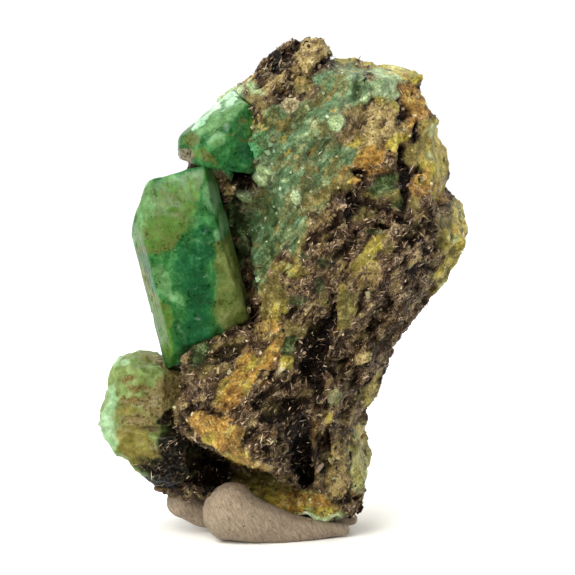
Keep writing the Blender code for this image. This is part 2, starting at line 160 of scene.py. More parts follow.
BERYL_LUMPS = (
    ((-10.4, -2.8, 12.4), (
        (-92, 6, 2.9), (-45, 4, 2.9), (-5, -6, 3.2), (48, 0, 3.2), (100, 0, 3.2), (180, 10, 3.0),
        (-135, 0, 3.0), (-80, 62, 3.0), (70, 72, 2.3), (0, -80, 3.0))),
    ((-11.0, -2.4, 9.6), (
        (-90, 4, 3.2), (-40, 14, 3.1), (0, 0, 3.1), (60, 0, 3.0), (120, 0, 3.0), (180, 0, 2.9),
        (-130, 0, 3.0), (-90, 48, 3.0), (-90, -43, 2.8), (0, -80, 2.6), (90, 75, 2.4))),
    ((-9.4, -2.6, 7.2), (
        (-70, 0, 3.7), (-30, 8, 3.4), (10, -10, 3.3), (70, 0, 3.0), (130, 0, 3.0), (-170, 0, 3.0),
        (-115, 0, 3.5), (-90, -43, 2.2), (-20, -60, 2.9), (0, 75, 2.8))),
)
BERYL_CENTRE = (-10.3, -2.6, 9.7)  # inside all three lumps

# Display putty, rolled and pressed: start, bend, end, start radius, end radius.
PUTTY_ROLLS = (
    ((-3.5, -4.3, 2.45), (-0.6, -4.9, 0.9), (5.6, -2.6, 0.6), 2.4, 0.5),
    ((-7.6, -1.8, 2.8), (-5.4, -0.6, 1.9), (-1.6, 1.6, 1.3), 1.3, 2.2),
    ((-2.2, -1.8, 0.1), (1.0, -1.4, 0.2), (6.3, -1.0, 1.2), 2.0, 0.45),
)
PUTTY_ROWS, PUTTY_COLUMNS = 110, 150
FINGER_LINE_SIZE, FINGER_LINE_HEIGHT, FINGER_LINE_STRETCH = 0.34, 0.10, (2.2, 1.2, 1.0)
DENT_SIZE, DENT_HEIGHT = 1.6, 0.34
GROUND_SLACK = 0.02  # putty lower than this is pressed flat

# Where each mineral shows

MINERALS = (
    "teal", "dark_teal_and_shade", "pale", "vivid", "lime", "olive", "ochre", "rust", "tan", "grey", "black", "schist",
)

# Patches of the show side by mineral, where the viewer sees them: middle across and up, reach along
# and aside, tilt, strength.
SHOW_SIDE = {
    "teal": (
        (4.2, 37.5, 0.8, 1.1, 90, 1), (3.7, 29.8, 1.2, 0.7, 30, 1.1), (0.2, 25.2, 1.1, 1, 60, 1.1),
        (2, 27.5, 1.3, 0.7, 40, 1), (2, 31.6, 4.1, 2.8, 40, 0.8), (0, 26.2, 4.3, 2.3, 62, 0.85),
        (5.7, 36.3, 2.8, 1.8, 20, 0.8), (3.7, 28.3, 2.8, 1.1, 55, 0.7), (5.7, 37.3, 1.6, 1.4, 90, 1),
        (8.9, 36.7, 1.4, 1.4, 0, 1), (3.5, 34.7, 2.3, 1.1, 0, 1), (1.9, 31.8, 1.8, 0.9, 10, 0.95),
        (4.9, 30.9, 2.1, 1.2, 25, 1.05), (0.8, 25.8, 2.5, 0.8, 25, 1), (-0.6, 23.8, 2, 1.1, 60, 0.95),
        (2, 24.6, 1.6, 0.8, 60, 0.8), (-0.2, 34.2, 1.5, 1.1, 0, 0.95), (-0.9, 32.4, 1.3, 1, 0, 0.95),
        (-1.1, 21.3, 1.5, 0.8, 80, 0.8), (-1.6, 33.4, 1.1, 1, 0, 0.9), (-3.5, 34.7, 1.6, 1.3, 40, 0.9),
    ),
    # mostly painted shade: these patches darken the green body where it is hollow and in shadow
    "dark_teal_and_shade": (
        (-0.7, 22.9, 2.1, 0.8, 75, 0.95), (-1.1, 31.6, 0.8, 1.1, 80, 1),
        (5.7, 18.8, 1.5, 0.7, 72, 1.15), (-2.9, 25.7, 1.8, 1.1, 100, 1.05),
        (-1.1, 31.4, 0.7, 0.6, 0, 0.9), (4.5, 22.7, 1, 0.7, 0, 0.75), (8.9, 28.6, 1.3, 0.8, 60, 0.95),
        (9.8, 27.5, 0.8, 0.5, 0, 0.8), (1.2, 15.6, 1.1, 0.8, 0, 0.85), (-1.6, 26.4, 0.7, 0.4, 0, 0.8),
        (6.3, 23.4, 0.7, 0.4, 0, 0.6), (-6.3, 15, 1.1, 0.7, 60, 0.95), (0.2, 10.4, 1.6, 0.8, 20, 0.6),
        (8, 20.1, 0.7, 0.5, 0, 0.65), (2.5, 23.4, 0.7, 0.4, 0, 0.6), (-2.9, 23, 1.6, 0.4, 100, 0.8),
        (1.6, 19.3, 0.8, 0.7, 0, 0.7), (8.3, 24.8, 0.7, 0.4, 0, 0.7), (3.3, 20.5, 0.7, 0.7, 0, 0.6),
    ),
    # pale beryl; the long patch along the upper emerald's top-left rim is a painted highlight
    "pale": (
        (9, 36.7, 1.5, 1.4, 0, 1.1), (5.8, 37.1, 1.5, 1.1, 60, 0.85), (-5, 34.7, 3, 0.7, 42, 1.15),
        (5.2, 33.8, 0.7, 0.7, 0, 1.2), (6.6, 35.3, 0.7, 0.2, 20, 1.1), (1.8, 27.6, 0.7, 0.5, 55, 1.3),
        (-0.9, 29.4, 0.9, 0.7, 0, 0.95), (-2.3, 27.7, 0.6, 0.5, 0, 1.25), (1.9, 31.9, 0.8, 0.5, 0, 0.8),
        (5.7, 31.6, 0.9, 0.4, 30, 0.9), (-1.6, 36.5, 0.8, 0.6, 0, 0.9), (0.7, 14.4, 0.4, 0.2, 0, 0.7),
        (7, 6.2, 2.8, 0.7, 86, 0.8), (3.7, 1.6, 2, 0.4, 3, 0.9), (5.1, 11.5, 0.8, 0.7, 0, 0.6),
        (6.1, 39.4, 1.1, 0.6, -30, 0.7), (2.9, 33.9, 0.5, 0.3, 0, 0.75), (4.5, 32.4, 0.5, 0.3, 0, 0.7),
        (-0.2, 24.8, 0.6, 0.2, 30, 0.7), (-1.4, 23.4, 0.5, 0.2, 60, 0.6),
        (0.8, 28.9, 0.5, 0.2, 20, 0.8), (3.5, 32.4, 0.6, 0.2, 20, 0.7),
    ),
    "vivid": (
        (-4.3, 31.6, 2, 1.1, 70, 0.9), (-3.5, 30.9, 1.6, 0.7, 80, 0.9), (-1.7, 31.6, 1.1, 1.1, 90, 1.1),
        (-1.1, 32.8, 0.7, 0.8, 60, 0.9),
    ),
    "lime": (
        (10.1, 32.2, 1.1, 0.7, 30, 0.95), (7.1, 32.6, 1.1, 0.5, 30, 0.9),
        (8.9, 35.2, 1.3, 0.5, -20, 0.9), (0.7, 14.2, 0.8, 0.6, 0, 1.15), (3.5, 1.9, 2.1, 0.3, -3, 1.25),
        (9.3, 38.3, 2.5, 0.7, -22, 1.25), (5.7, 39.3, 1.5, 0.7, -30, 0.85),
        # painted glow as well as yellow beryl: the patches down the right rim stand for light through its
        # thin edge
        (13.2, 31.4, 2.8, 1.2, 95, 1.1), (13.2, 29.1, 1.3, 0.8, 100, 0.9),
        (14.9, 24.8, 2.6, 1.1, 92, 1.25), (14.1, 21.7, 1.5, 0.7, 65, 1.1),
        (12.7, 19, 1.8, 0.3, 55, 0.8), (10.8, 16.2, 1.6, 0.3, 62, 0.7), (8.1, 11.5, 2, 0.4, 80, 0.7),
        (7.8, 23.1, 2.2, 0.6, 49, 1.2), (8, 21.9, 0.7, 0.5, 60, 0.9), (5.7, 18.5, 1.1, 0.7, 72, 0.9),
        (5.6, 20.1, 0.7, 0.5, 60, 0.8), (-1.1, 19.3, 1.3, 0.5, 90, 0.55),
        (0.4, 18.3, 1.1, 0.7, 75, 0.7), (0.8, 21.6, 1, 0.7, 0, 0.5), (4.6, 9.5, 0.7, 0.3, 75, 1.1),
        (0, 3.1, 2.5, 1.1, -20, 1), (2, 21.9, 0.7, 1, 80, 0.45), (10.6, 38.9, 0.8, 0.4, 0, 0.8),
        (11.7, 38.1, 0.7, 0.4, -40, 0.9), (7.5, 4.5, 1, 0.3, 80, 0.7), (7, 6.6, 3, 0.7, 86, 0.95),
    ),
    "olive": (
        (0.1, 10.8, 1.5, 0.8, 10, 0.95), (7.6, 22.9, 2, 0.5, 49, 1.2), (5.7, 18.8, 1.6, 1.1, 72, 1.25),
        (8.3, 23.7, 0.8, 0.2, 49, 1), (0.6, 33.9, 0.8, 0.7, 0, 1.3), (4.3, 28.3, 3.1, 0.6, 42, 0.95),
        (2.3, 24.2, 2.3, 0.6, 72, 0.8), (11.6, 31.1, 0.9, 1, 0, 1.15), (13.9, 25.2, 1.8, 0.5, 92, 1),
        (2.2, 36.8, 1, 0.7, 30, 0.9), (1.1, 16.2, 1.6, 1.3, 0, 0.6), (-0.2, 19.3, 2.1, 1.1, 80, 0.8),
        (-1.1, 21.7, 1.1, 0.7, 90, 0.6), (-1.1, 4.1, 2.5, 1, -25, 0.9), (2, 3.3, 2, 0.8, 0, 0.85),
        (2.5, 30.6, 2, 0.4, 25, 0.75), (0, 32.4, 1, 0.5, 0, 0.8), (9, 27.8, 1.5, 0.5, 0, 0.8),
        (11.5, 27.3, 0.7, 0.5, 0, 0.7), (3.7, 19.3, 0.7, 0.7, 0, 0.6), (2.9, 16.4, 1, 1.1, 0, 0.55),
        (6.6, 20.1, 0.8, 0.5, 0, 0.5), (5.2, 11.5, 0.9, 0.7, 0, 0.8), (7.5, 11.5, 0.8, 1, 80, 0.7),
        (6, 28.3, 0.8, 0.5, 0, 0.7), (-0.6, 27.6, 1.1, 0.4, 30, 0.7), (-2, 35.8, 0.7, 0.6, 0, 0.7),
        (7.1, 26.2, 0.6, 0.8, 0, 0.6), (-5.5, 13.4, 0.8, 0.5, 60, 0.6),
    ),
    "ochre": (
        (-0.6, 15, 1.1, 0.6, 60, 0.9), (2, 2.4, 2.8, 0.7, -6, 1.2), (0.8, 2.9, 2, 0.5, -16, 1.1),
        (2.4, 3, 2.6, 0.7, -8, 1.15), (11.1, 36.1, 1.1, 0.9, -40, 1.25), (11.9, 34.7, 1, 0.7, -60, 1),
        (7.6, 30.9, 1.5, 0.9, 30, 1.15), (6.3, 29, 0.7, 0.4, 0, 1.3), (12.3, 28.5, 1.3, 1.1, 0, 1.2),
        (13.3, 27.8, 0.7, 0.5, 20, 1.1), (9.8, 31.6, 0.7, 0.7, 0, 0.65), (-2.4, 14.5, 1, 0.7, 25, 1.25),
        (-3, 12.7, 2.8, 1, 52, 1.2), (-0.6, 17.2, 1, 0.7, 0, 0.9), (0, 15.6, 1.3, 0.7, 60, 0.7),
        (-5, 8.6, 2.1, 1.3, -25, 1.3), (-3.9, 7.2, 1.6, 0.5, -38, 1.15), (-2.2, 5.9, 2.8, 0.3, -24, 1),
        (1.1, 1.9, 1.8, 0.5, -3, 1.2), (2.9, 2.6, 1.1, 0.5, 0, 0.9), (-1.1, 3.5, 1.1, 0.4, -30, 0.85),
        (-1.1, 34.2, 0.6, 0.8, 0, 0.75), (2.1, 37, 0.5, 0.5, 0, 0.8), (-2, 37.3, 0.7, 0.5, 40, 0.8),
        (4.8, 29.3, 0.8, 0.3, 40, 0.8), (11.1, 33.7, 0.7, 0.7, 0, 0.9), (9.1, 38.6, 1.3, 0.4, -20, 0.6),
        (3.5, 40, 0.7, 0.4, 10, 0.7),
    ),
    "rust": (
        (-2.4, 13.4, 1, 0.5, 50, 1.2), (-4.3, 7.7, 1.3, 0.6, -30, 1.25), (-5.7, 9.1, 0.7, 0.6, 0, 1.2),
        (-3.2, 11.7, 1, 0.5, 60, 1.2), (-2.3, 14.4, 0.7, 0.4, 0, 0.8), (8.4, 29.9, 1.1, 0.2, 0, 1.1),
        (12.7, 34.7, 1.1, 0.2, -60, 1.1), (-1.9, 37.3, 0.7, 0.4, 42, 0.9),
        (5.6, 10.4, 0.4, 0.2, 0, 0.95), (3.1, 9, 0.9, 0.3, 100, 0.8), (-4.1, 10.7, 0.7, 0.3, -10, 0.95),
        (-4.2, 9.8, 0.5, 0.2, 0, 0.9), (2, 37, 0.4, 0.3, 0, 0.8), (-0.8, 17.5, 0.4, 0.3, 0, 0.7),
        (13.2, 28.1, 0.6, 0.3, 0, 0.9), (-1.4, 31.6, 0.5, 0.2, 30, 0.6), (5.2, 29.8, 0.8, 0.2, 10, 0.8),
        (10.6, 36.7, 0.4, 0.4, 0, 0.8),
    ),
    "tan": (
        (8.1, 33.5, 2.1, 1.6, 30, 1), (1.7, 2.6, 2.1, 0.5, -8, 1.15), (8.3, 33.9, 1.8, 1.5, 20, 1.05),
        (6.3, 34.7, 0.8, 0.5, -40, 0.75), (10, 33.2, 0.7, 0.8, 0, 0.85), (3, 39.2, 1.6, 1.1, 40, 0.95),
        (-0.4, 37.1, 1.6, 0.7, 32, 0.75), (5.7, 32.3, 1.5, 0.3, 30, 0.75), (5.1, 5.1, 3, 1.1, 85, 0.9),
        (12.2, 22.6, 0.7, 0.2, -20, 1.4), (7.1, 14.4, 0.9, 0.5, 15, 1.4),
        (-1.4, 5.7, 2.1, 0.3, -25, 0.85), (-0.8, 16.9, 1.1, 0.8, 30, 0.85),
        (-3.9, 28.5, 0.8, 0.5, 0, 0.95), (8, 11.5, 0.5, 1, 80, 0.7), (2.9, 33, 1.3, 0.2, 20, 0.6),
        (6.6, 36.3, 0.4, 0.7, 0, 0.6),
    ),
    "grey": (
        (1.1, 35.3, 0.6, 0.6, 0, 1.45), (-3.7, 28.3, 0.7, 0.4, 0, 0.6), (-2.6, 5.3, 0.7, 0.2, -25, 0.6),
        (0.1, 13.9, 0.7, 0.4, 0, 0.6),
    ),
    # black biotite, and painted shade: the patches in the cracks, the cavities and the underside below the
    # brow paint their shadow black
    "black": (
        (3.5, 14.4, 3.8, 1.1, 80, 0.9), (0.9, 10.8, 2.1, 1.2, 10, 1.05), (2, 7.8, 1.1, 2.1, 0, 0.8),
        (11.6, 33, 1.1, 0.4, 75, 1.3), (10.4, 29.1, 2.5, 0.5, 85, 1.3), (10.1, 26.2, 0.5, 0.4, 0, 1.15),
        (6.3, 26.8, 1.6, 0.6, 82, 1.3), (7.1, 27.1, 1.1, 0.3, 85, 0.9), (6.6, 29.8, 1, 0.2, 0, 0.95),
        (12, 21.8, 1.1, 0.4, 0, 1.2), (4, 16.8, 2.2, 0.4, 78, 1.35), (3, 12, 1.1, 0.3, 42, 1.25),
        (2.3, 6, 1.8, 1, 88, 1.35), (-6.1, 5.3, 3.4, 1.8, -20, 1.4), (-9, 4.7, 2.1, 0.7, -35, 1.3),
        (-2.6, 29.6, 0.5, 0.4, 0, 1.35), (-2, 28.4, 0.5, 0.4, 0, 1.3),
        (-2.5, 23.9, 1.5, 0.3, 100, 0.85), (-2, 18, 1.1, 0.2, 100, 1.15),
        (4.1, 38.9, 1.3, 0.3, 35, 1.05), (-0.4, 38.6, 2, 0.2, 36, 0.85),
        (-1.1, 36.9, 1.1, 0.2, 25, 0.85), (5.3, 2.9, 1, 0.6, 0, 0.95), (2.9, 0.9, 1.6, 0.3, -5, 1.1),
        (6.8, 24.8, 0.5, 0.3, 0, 0.85), (8.8, 25.4, 0.5, 0.3, 0, 0.9), (4.5, 24.5, 0.5, 0.4, 0, 0.8),
        (-2.9, 27.1, 0.8, 0.5, 95, 0.95), (-0.6, 11.9, 1.1, 0.3, 20, 0.9),
        (0.4, 10.1, 2.1, 1.1, 20, 0.9), (-1.1, 10.9, 1, 0.7, 0, 1), (2, 9.4, 0.5, 1.8, 0, 0.9),
        (4.5, 7.8, 0.4, 1.1, 0, 0.8),
    ),
    "schist": (
        (9, 21.7, 4.9, 3.6, 50, 0.8), (-3.7, 15.6, 2.5, 1, 50, 1.15), (-6.5, 11.4, 2.1, 1, 50, 1.15),
        (0.8, 11.1, 3, 2, 10, 0.75), (7, 15.6, 3, 2.1, 60, 0.85), (0, 38, 2.6, 0.7, 36, 0.95),
        (3.9, 25.4, 0.7, 0.7, 0, 0.75), (5.7, 23.4, 2.5, 1.6, 50, 0.8),
    ),
}
SCHIST_EVERYWHERE = 0.42  # what a patch has to beat
# Round the back, zones of the same minerals by formula: size, share, seed.
HIDDEN_ZONES = {
    "teal": (7.0, 0.56, 301), "lime": (5.5, 0.60, 302), "ochre": (5.0, 0.62, 303),
    "olive": (4.0, 0.60, 304), "black": (3.5, 0.62, 305), "tan": (4.0, 0.66, 306),
    "rust": (2.4, 0.70, 307), "pale": (2.6, 0.72, 308),
}
# Minerals that noise draws inside others: name, host, size, where it starts and fills, strength, seed.
VEIN_STRETCH = (1.9, 1.0, 0.75)
VEINS = (
    ("olive", "teal", 0.9, 0.53, 0.63, 1.05, 401), ("pale", "teal", 0.8, 0.60, 0.71, 0.95, 402),
    ("ochre", "teal", 0.6, 0.66, 0.73, 1.1, 403), ("dark_teal_and_shade", "teal", 1.0, 0.56, 0.66, 1.1, 415),
    ("olive", "lime", 0.9, 0.54, 0.64, 1.1, 404), ("pale", "lime", 1.0, 0.60, 0.68, 1.0, 405),
    ("ochre", "lime", 0.8, 0.58, 0.68, 1.1, 406), ("rust", "ochre", 0.8, 0.57, 0.67, 1.1, 407),
    ("lime", "ochre", 1.2, 0.53, 0.63, 1.1, 408), ("schist", "ochre", 0.6, 0.62, 0.69, 1.15, 409),
    ("schist", "tan", 0.5, 0.60, 0.67, 1.2, 410), ("black", "schist", 1.1, 0.50, 0.60, 1.2, 411),
    ("tan", "schist", 0.6, 0.60, 0.66, 1.1, 412), ("olive", "schist", 1.2, 0.61, 0.69, 1.1, 413),
    ("rust", "schist", 0.6, 0.67, 0.72, 1.1, 414), ("pale", "teal", 2.0, 0.60, 0.72, 0.90, 416),
    ("olive", "teal", 2.2, 0.55, 0.65, 1.0, 417),
)
SHOW_DEPTH = (6.5, 9.5)  # how far back the show side's patches run before they fade out

# Fine relief in millimetres: ridges along the layers, facets, crumbs, and how proud it stands.
RELIEF = {
    "teal": (0.03, 0.28, 0.03, 0.02), "dark_teal_and_shade": (0.12, 0.34, 0.08, -0.25), "pale": (0.02, 0.40, 0.03, 0.12),
    "vivid": (0.02, 0.16, 0.02, 0.00), "lime": (0.03, 0.34, 0.05, 0.10), "olive": (0.05, 0.34, 0.06, -0.05),
    "ochre": (0.05, 0.32, 0.08, 0.08), "rust": (0.05, 0.24, 0.10, 0.00), "tan": (0.10, 0.28, 0.09, 0.02),
    "grey": (0.02, 0.40, 0.05, 0.16), "black": (0.22, 0.50, 0.05, -0.62), "schist": (0.30, 0.42, 0.12, -0.12),
}
RIDGE_SIZE = (1.3, 0.6, 0.42)  # along the layers, deep, across them
FACET_SIZE, FACET_LEAN, FACET_STRETCH = 1.15, 0.9, (1.5, 1.0, 1.0)
CRUMB_SIZE, CRUMB_LEAN = 0.48, 0.6

# How the patches meet
PATCH_FADE = (0.55, 1.35)  # of a patch's reach
FAINT_CLAIM, FAINT_LOSS = 0.3, 0.8
SPECKLE_SIZE = 0.55
LEADING = (-0.1, 0.1)  # how far ahead of the others a mineral has to be to hold veins
ZONE_STRETCH, ZONE_STRENGTH = (1.6, 1.0, 1.0), 1.1
ZONE_EDGE = (-0.12, 0.03)
WAVER_SIZE, WAVER = 3.0, 2.0  # of the line where the show side ends
# Noise that makes the patches' borders ragged: axis, size, amount.
BORDER_SHAKES = ((0, 2.4, 1.0), (2, 2.4, 1.0), (0, 0.7, 0.45), (2, 0.7, 0.45))

EMERALD_TINTS = ("green", "deep", "grass", "mint", "straw", "rust", "veil", "frost_and_highlight", "dirt")
PRISM_PATCHES = {
    "deep": (
        (-6.6, 19.3, 4.4, 1.4, 100, 1.1), (-6, 17.1, 3, 1.1, 104, 1.1), (-6.6, 22.4, 2, 1.1, 30, 1),
        (-6, 24.5, 1.1, 0.8, 40, 0.8), (-7.1, 15.2, 2, 0.7, 112, 1),
    ),
    "green": (
        (-8.8, 19.9, 3.3, 0.7, 104, 0.95), (-7.8, 16.8, 2.5, 0.5, 108, 0.8),
    ),
    "grass": (
        (-9.4, 17.2, 2.8, 0.6, 110, 1), (-8.9, 26.3, 3.3, 2.2, 60, 1), (-7, 28.3, 2, 1.1, 60, 0.9),
        (-9.4, 24.2, 1.6, 0.7, 20, 0.9), (-8.2, 28.3, 2.5, 0.8, 12, 0.8),
    ),
    # partly painted glow: the mint down the prism's thin left edge stands for light shining through it
    "mint": (
        (-10.6, 27.1, 2.1, 0.8, 80, 1), (-4.9, 28.1, 1.5, 0.7, 75, 0.85), (-7, 29.8, 1.8, 0.3, 14, 0.9),
        (-4.3, 25.5, 1.5, 0.6, 75, 0.9), (-11.2, 25.2, 1.6, 0.4, 85, 1),
        (-8.9, 20.4, 2.1, 0.5, 104, 0.6),
    ),
    "straw": (
        (-3.4, 19.9, 4.1, 1.4, 98, 1.15), (-3.9, 23.2, 1.1, 0.8, 20, 1.1),
        (-10.2, 20.3, 2.8, 0.4, 108, 0.95), (-2.6, 18, 1.6, 0.8, 105, 1), (-4, 23.2, 0.8, 0.7, 20, 0.9),
    ),
    "rust": (
        (-10.1, 26.3, 0.8, 0.3, 60, 0.85), (-7, 26.5, 0.8, 0.3, 40, 0.8),
        (-8.8, 25.2, 2, 1.5, 45, 0.85), (-9.4, 23.6, 1.8, 0.4, 15, 0.95),
        (-4.2, 23.9, 0.8, 0.2, 20, 1.15), (-10.2, 21.3, 1, 0.2, 110, 0.9),
        (-9.8, 19.3, 1.1, 0.2, 110, 0.7), (-8, 27.9, 1.5, 0.6, 20, 0.85),
        (-10.9, 24.8, 0.7, 0.4, 70, 0.95), (-3.9, 22.4, 0.6, 0.2, -20, 0.8),
        (-6.3, 19.3, 0.8, 0.5, 0, 0.5),
    ),
    "veil": (
        (-4.8, 28, 1.6, 0.7, 75, 1.15), (-4.2, 25.3, 1.6, 0.6, 75, 1.1),
        (-7.6, 16.2, 1.3, 0.2, 114, 0.7), (-5.9, 23.8, 1, 0.2, 10, 0.5),
    ),
    # painted highlight on the prism's top-left corner
    "frost_and_highlight": (
        (-10.5, 28.8, 0.5, 0.2, 10, 0.6),
    ),
    "dirt": (
        (-10.8, 24.5, 0.7, 0.2, 20, 0.7),
    ),
}
UPPER_PATCHES = {
    # painted highlight down the upper emerald's top-left rim, and one pale spot below it
    "frost_and_highlight": (
        (-5.3, 34.8, 2.6, 0.4, 42, 1.25), (-3.5, 36, 1.3, 0.3, 42, 1.2), (-5.2, 32.3, 0.5, 0.6, 0, 0.8),
    ),
    # partly painted highlight along the upper emerald's top-left rim
    "mint": (
        (-4.3, 34.2, 2.3, 0.7, 40, 0.75), (-5.1, 32.1, 0.7, 0.7, 0, 1.1),
        (-6.3, 33.2, 1.1, 0.5, 50, 0.75), (-3, 35, 1, 0.5, 30, 0.7),
    ),
    "dirt": (
        (-7.3, 30.8, 0.7, 0.8, 90, 1.1),
    ),
    "rust": (
        (-7.2, 32.4, 0.6, 0.7, 0, 1), (-3, 33.5, 0.3, 0.2, 0, 1), (-5.5, 30.8, 1.2, 0.2, -35, 1),
        (-1.9, 34.7, 0.4, 0.6, 30, 0.8), (-2.5, 32.2, 0.8, 0.1, -30, 0.9),
        (-4, 32.7, 0.7, 0.1, 40, 0.8),
    ),
    "green": (
        (-3.5, 30.8, 1.6, 1.3, 80, 1),
    ),
    "deep": (
        (-1.7, 31.6, 0.8, 1.5, 80, 1.15), (-4.3, 29.3, 1, 0.5, 30, 0.7), (-3.2, 30.3, 1, 0.7, 0, 0.55),
    ),
    "grass": (
        (-1.7, 33, 0.8, 1, 0, 0.9), (-6.5, 31.1, 0.8, 0.5, 0, 0.8),
    ),
}
BERYL_TINTS = ("pale", "mint", "lime", "tan", "rust", "dark")
BERYL_PATCHES = {
    # painted glow: mint along the cluster's thin left edge, where light shines through
    "mint": (
        (-13.7, 9.6, 2.1, 0.7, 80, 1.25), (-13.3, 7.7, 1.3, 0.6, 60, 1.1), (-13, 14.5, 0.7, 0.5, 50, 1),
        (-13.5, 11.7, 1.3, 0.4, 80, 1), (-12.5, 8.5, 0.7, 0.6, 0, 0.8),
    ),
    "pale": (
        (-11.2, 13.5, 1.6, 1.4, 0, 0.9),
    ),
    "lime": (
        (-11.6, 7.6, 2, 1, -30, 1.25), (-12, 10.1, 1.1, 0.7, 0, 0.8), (-10.2, 14.4, 1, 0.7, 0, 0.6),
        (-11.2, 6.3, 1.5, 0.5, -35, 1.2),
    ),
    "tan": (
        (-8.3, 12.2, 1.3, 1.4, 0, 1.25), (-9.4, 10.8, 1.5, 1, -20, 1.1), (-10.7, 9.1, 1.3, 0.9, 0, 1.1),
        (-9.4, 13.9, 0.7, 0.8, 0, 0.8),
    ),
    "rust": (
        (-12, 13, 0.8, 0.3, 20, 0.85), (-11.1, 12.1, 0.8, 0.3, -15, 0.9),
        (-12, 9.1, 0.7, 0.3, 30, 0.85), (-11.4, 11.1, 1.3, 0.4, -5, 1.2),
        (-10.2, 7.2, 1.3, 0.5, -30, 0.95), (-12.4, 11.4, 0.5, 0.2, 30, 0.9),
        (-10.9, 9.6, 0.8, 0.5, 0, 0.95),
    ),
    # black mica and painted shade: the cluster's underside towards the putty is painted near black
    "dark": (
        (-7.8, 5.5, 1.1, 1, 0, 1.5), (-8, 7.3, 1.4, 1.8, -30, 1.35), (-8.7, 9.4, 0.8, 0.7, 0, 1.4),
        (-8.4, 4.5, 3.6, 1.1, -33, 1.5), (-6.6, 6.8, 2.3, 1.3, -30, 1.5), (-9.4, 5.7, 1.6, 0.5, -35, 1),
    ),
}
FIRST_TINT_EVERYWHERE = 0.45
EDGE_SHARPNESS, EDGE_WEAR, SEAM_SHARPNESS = 70, 54, 6.0

# The crystals' relief, its size and height in millimetres
LINE_SIZE, LINE_HEIGHT, LINE_STRETCH = 0.42, 0.10, (1.0, 1.0, 9.0)
PLATE_SIZE, PLATE_LEAN, PLATE_HEIGHT = 1.7, 0.9, 0.20
NICK_SIZE, NICK_LEAN, NICK_HEIGHT = 0.6, 0.7, 0.09
SWELL_SIZE, SWELL_HEIGHT = 3.2, 0.45
PIT_SIZE, PIT_DEPTH, PIT_SHARE = 0.7, 0.14, (0.66, 0.80)

# How much of each small thing, and where it can lie
FLAKES, SPLINTERS, CRUMBS = 7000, 14000, 5000
# the beryl's dark foot is black mica and painted shade
CRUST_SHARE = 0.45  # of mica on the beryl's dark foot, against the rock
MICA_LENGTH = (-0.95, 0.40)  # middle and spread of the logarithm of millimetres
MICA_RANGE = (0.15, 1.0)
FLAKE_LIFT, SPLINTER_LIFT = (-0.12, 0.02), (-0.05, 0.04)
CRUMB_SPREAD, CRUMB_RANGE = (-1.8, 0.38), (0.08, 0.4)
BARE_BELOW, BARE_LEFT = (5.8, 4.8), (-7.0, -8.0)  # the rock's lower left corner, where none lies
FACING_AWAY = (-0.55, -0.2)  # sunk deeper where the normal's Y is past these, off the show side

# The camera's place, which the patches are laid out from too
AIM = (1.02, 0.0, 20.3)
VIEW_DISTANCE, VIEW_RISE = 300.0, 8.0
PHOTO_PIXELS, PIXELS_PER_MM = 575, 12.2
PICTURE_WIDTH = PHOTO_PIXELS / PIXELS_PER_MM


# Noise and chips, worked out for whole arrays of points

def cell_random(cells, seed):
    """A repeatable number from 0 to 1 for each whole-numbered cell, by mixing its bits."""
    bits = (cells[..., 0] * 73856093) ^ (cells[..., 1] * 19349663)
    bits = (bits ^ (cells[..., 2] * 83492791) ^ (seed * 26544357)) & 0xFFFFFFFF
    bits = ((bits ^ (bits >> 15)) * 0x2C1B3C6D) & 0xFFFFFFFF
    bits = ((bits ^ (bits >> 12)) * 0x297A2D39) & 0xFFFFFFFF
    return ((bits ^ (bits >> 15)) & 0xFFFFFF) / 0xFFFFFF


def noise(points, size, seed):
    """Value noise from 0 to 1: a random number at each corner of a lattice of cells of that size,
    blended inside the cell by 3t^2 - 2t^3 on each axis."""
    scaled = points / np.asarray(size)
    home = np.floor(scaled).astype(np.int64)
    share = scaled - home
    share = share * share * (3 - 2 * share)
    total = np.zeros(points.shape[:-1])
    for corner in product((0, 1), repeat=3):
        weight = np.prod(np.where(np.array(corner) == 1, share, 1 - share), axis=-1)
        total += weight * cell_random(home + np.array(corner), seed)
    return total


def layered(points, size, seed, layers=3):
    """The sum of noises that halve in size and strength, brought back to 0 to 1."""
    size = np.asarray(size, dtype=float)
    total = sum(noise(points, size / 2 ** k, seed + k) / 2 ** k for k in range(layers))
    return total / (2 - 2 / 2 ** layers)


def chips(points, size, lean, seed):
    """Chipped relief: the lowest of many leaning bowls, one to a cell, so that the bowls are
    facets and the lines where they meet are sharp ridges. It runs from about -0.4 to 0.6."""
    scaled = points / size
    home = np.floor(scaled).astype(np.int64)
    lowest = np.full(points.shape[:-1], np.inf)
    for step in product((-1, 0, 1), repeat=3):
        cells = home + np.array(step)
        site = cells + np.stack([cell_random(cells, seed + k) for k in range(3)], axis=-1)
        slope = np.stack([cell_random(cells, seed + 3 + k) for k in range(3)], axis=-1) * 2 - 1
        away = scaled - site
        bowl = (away ** 2).sum(axis=-1) + lean * (away * slope).sum(axis=-1)
        lowest = np.minimum(lowest, bowl)
    return lowest


def smooth(low, high, value):
    """0 below low, 1 above high, and 3t^2 - 2t^3 between."""
    share = np.clip((value - low) / (high - low), 0, 1)
    return share * share * (3 - 2 * share)


def unit(vectors):
    return vectors / np.maximum(np.linalg.norm(vectors, axis=-1, keepdims=True), 1e-9)


def turned(points, degrees):
    """The points as (along, deep, across) a line that rises that many degrees from +X."""
    turn = radians(degrees)
    along = points[..., 0] * cos(turn) + points[..., 2] * sin(turn)
    across = points[..., 2] * cos(turn) - points[..., 0] * sin(turn)
    return np.stack([along, points[..., 1], across], axis=-1)


# Meshes

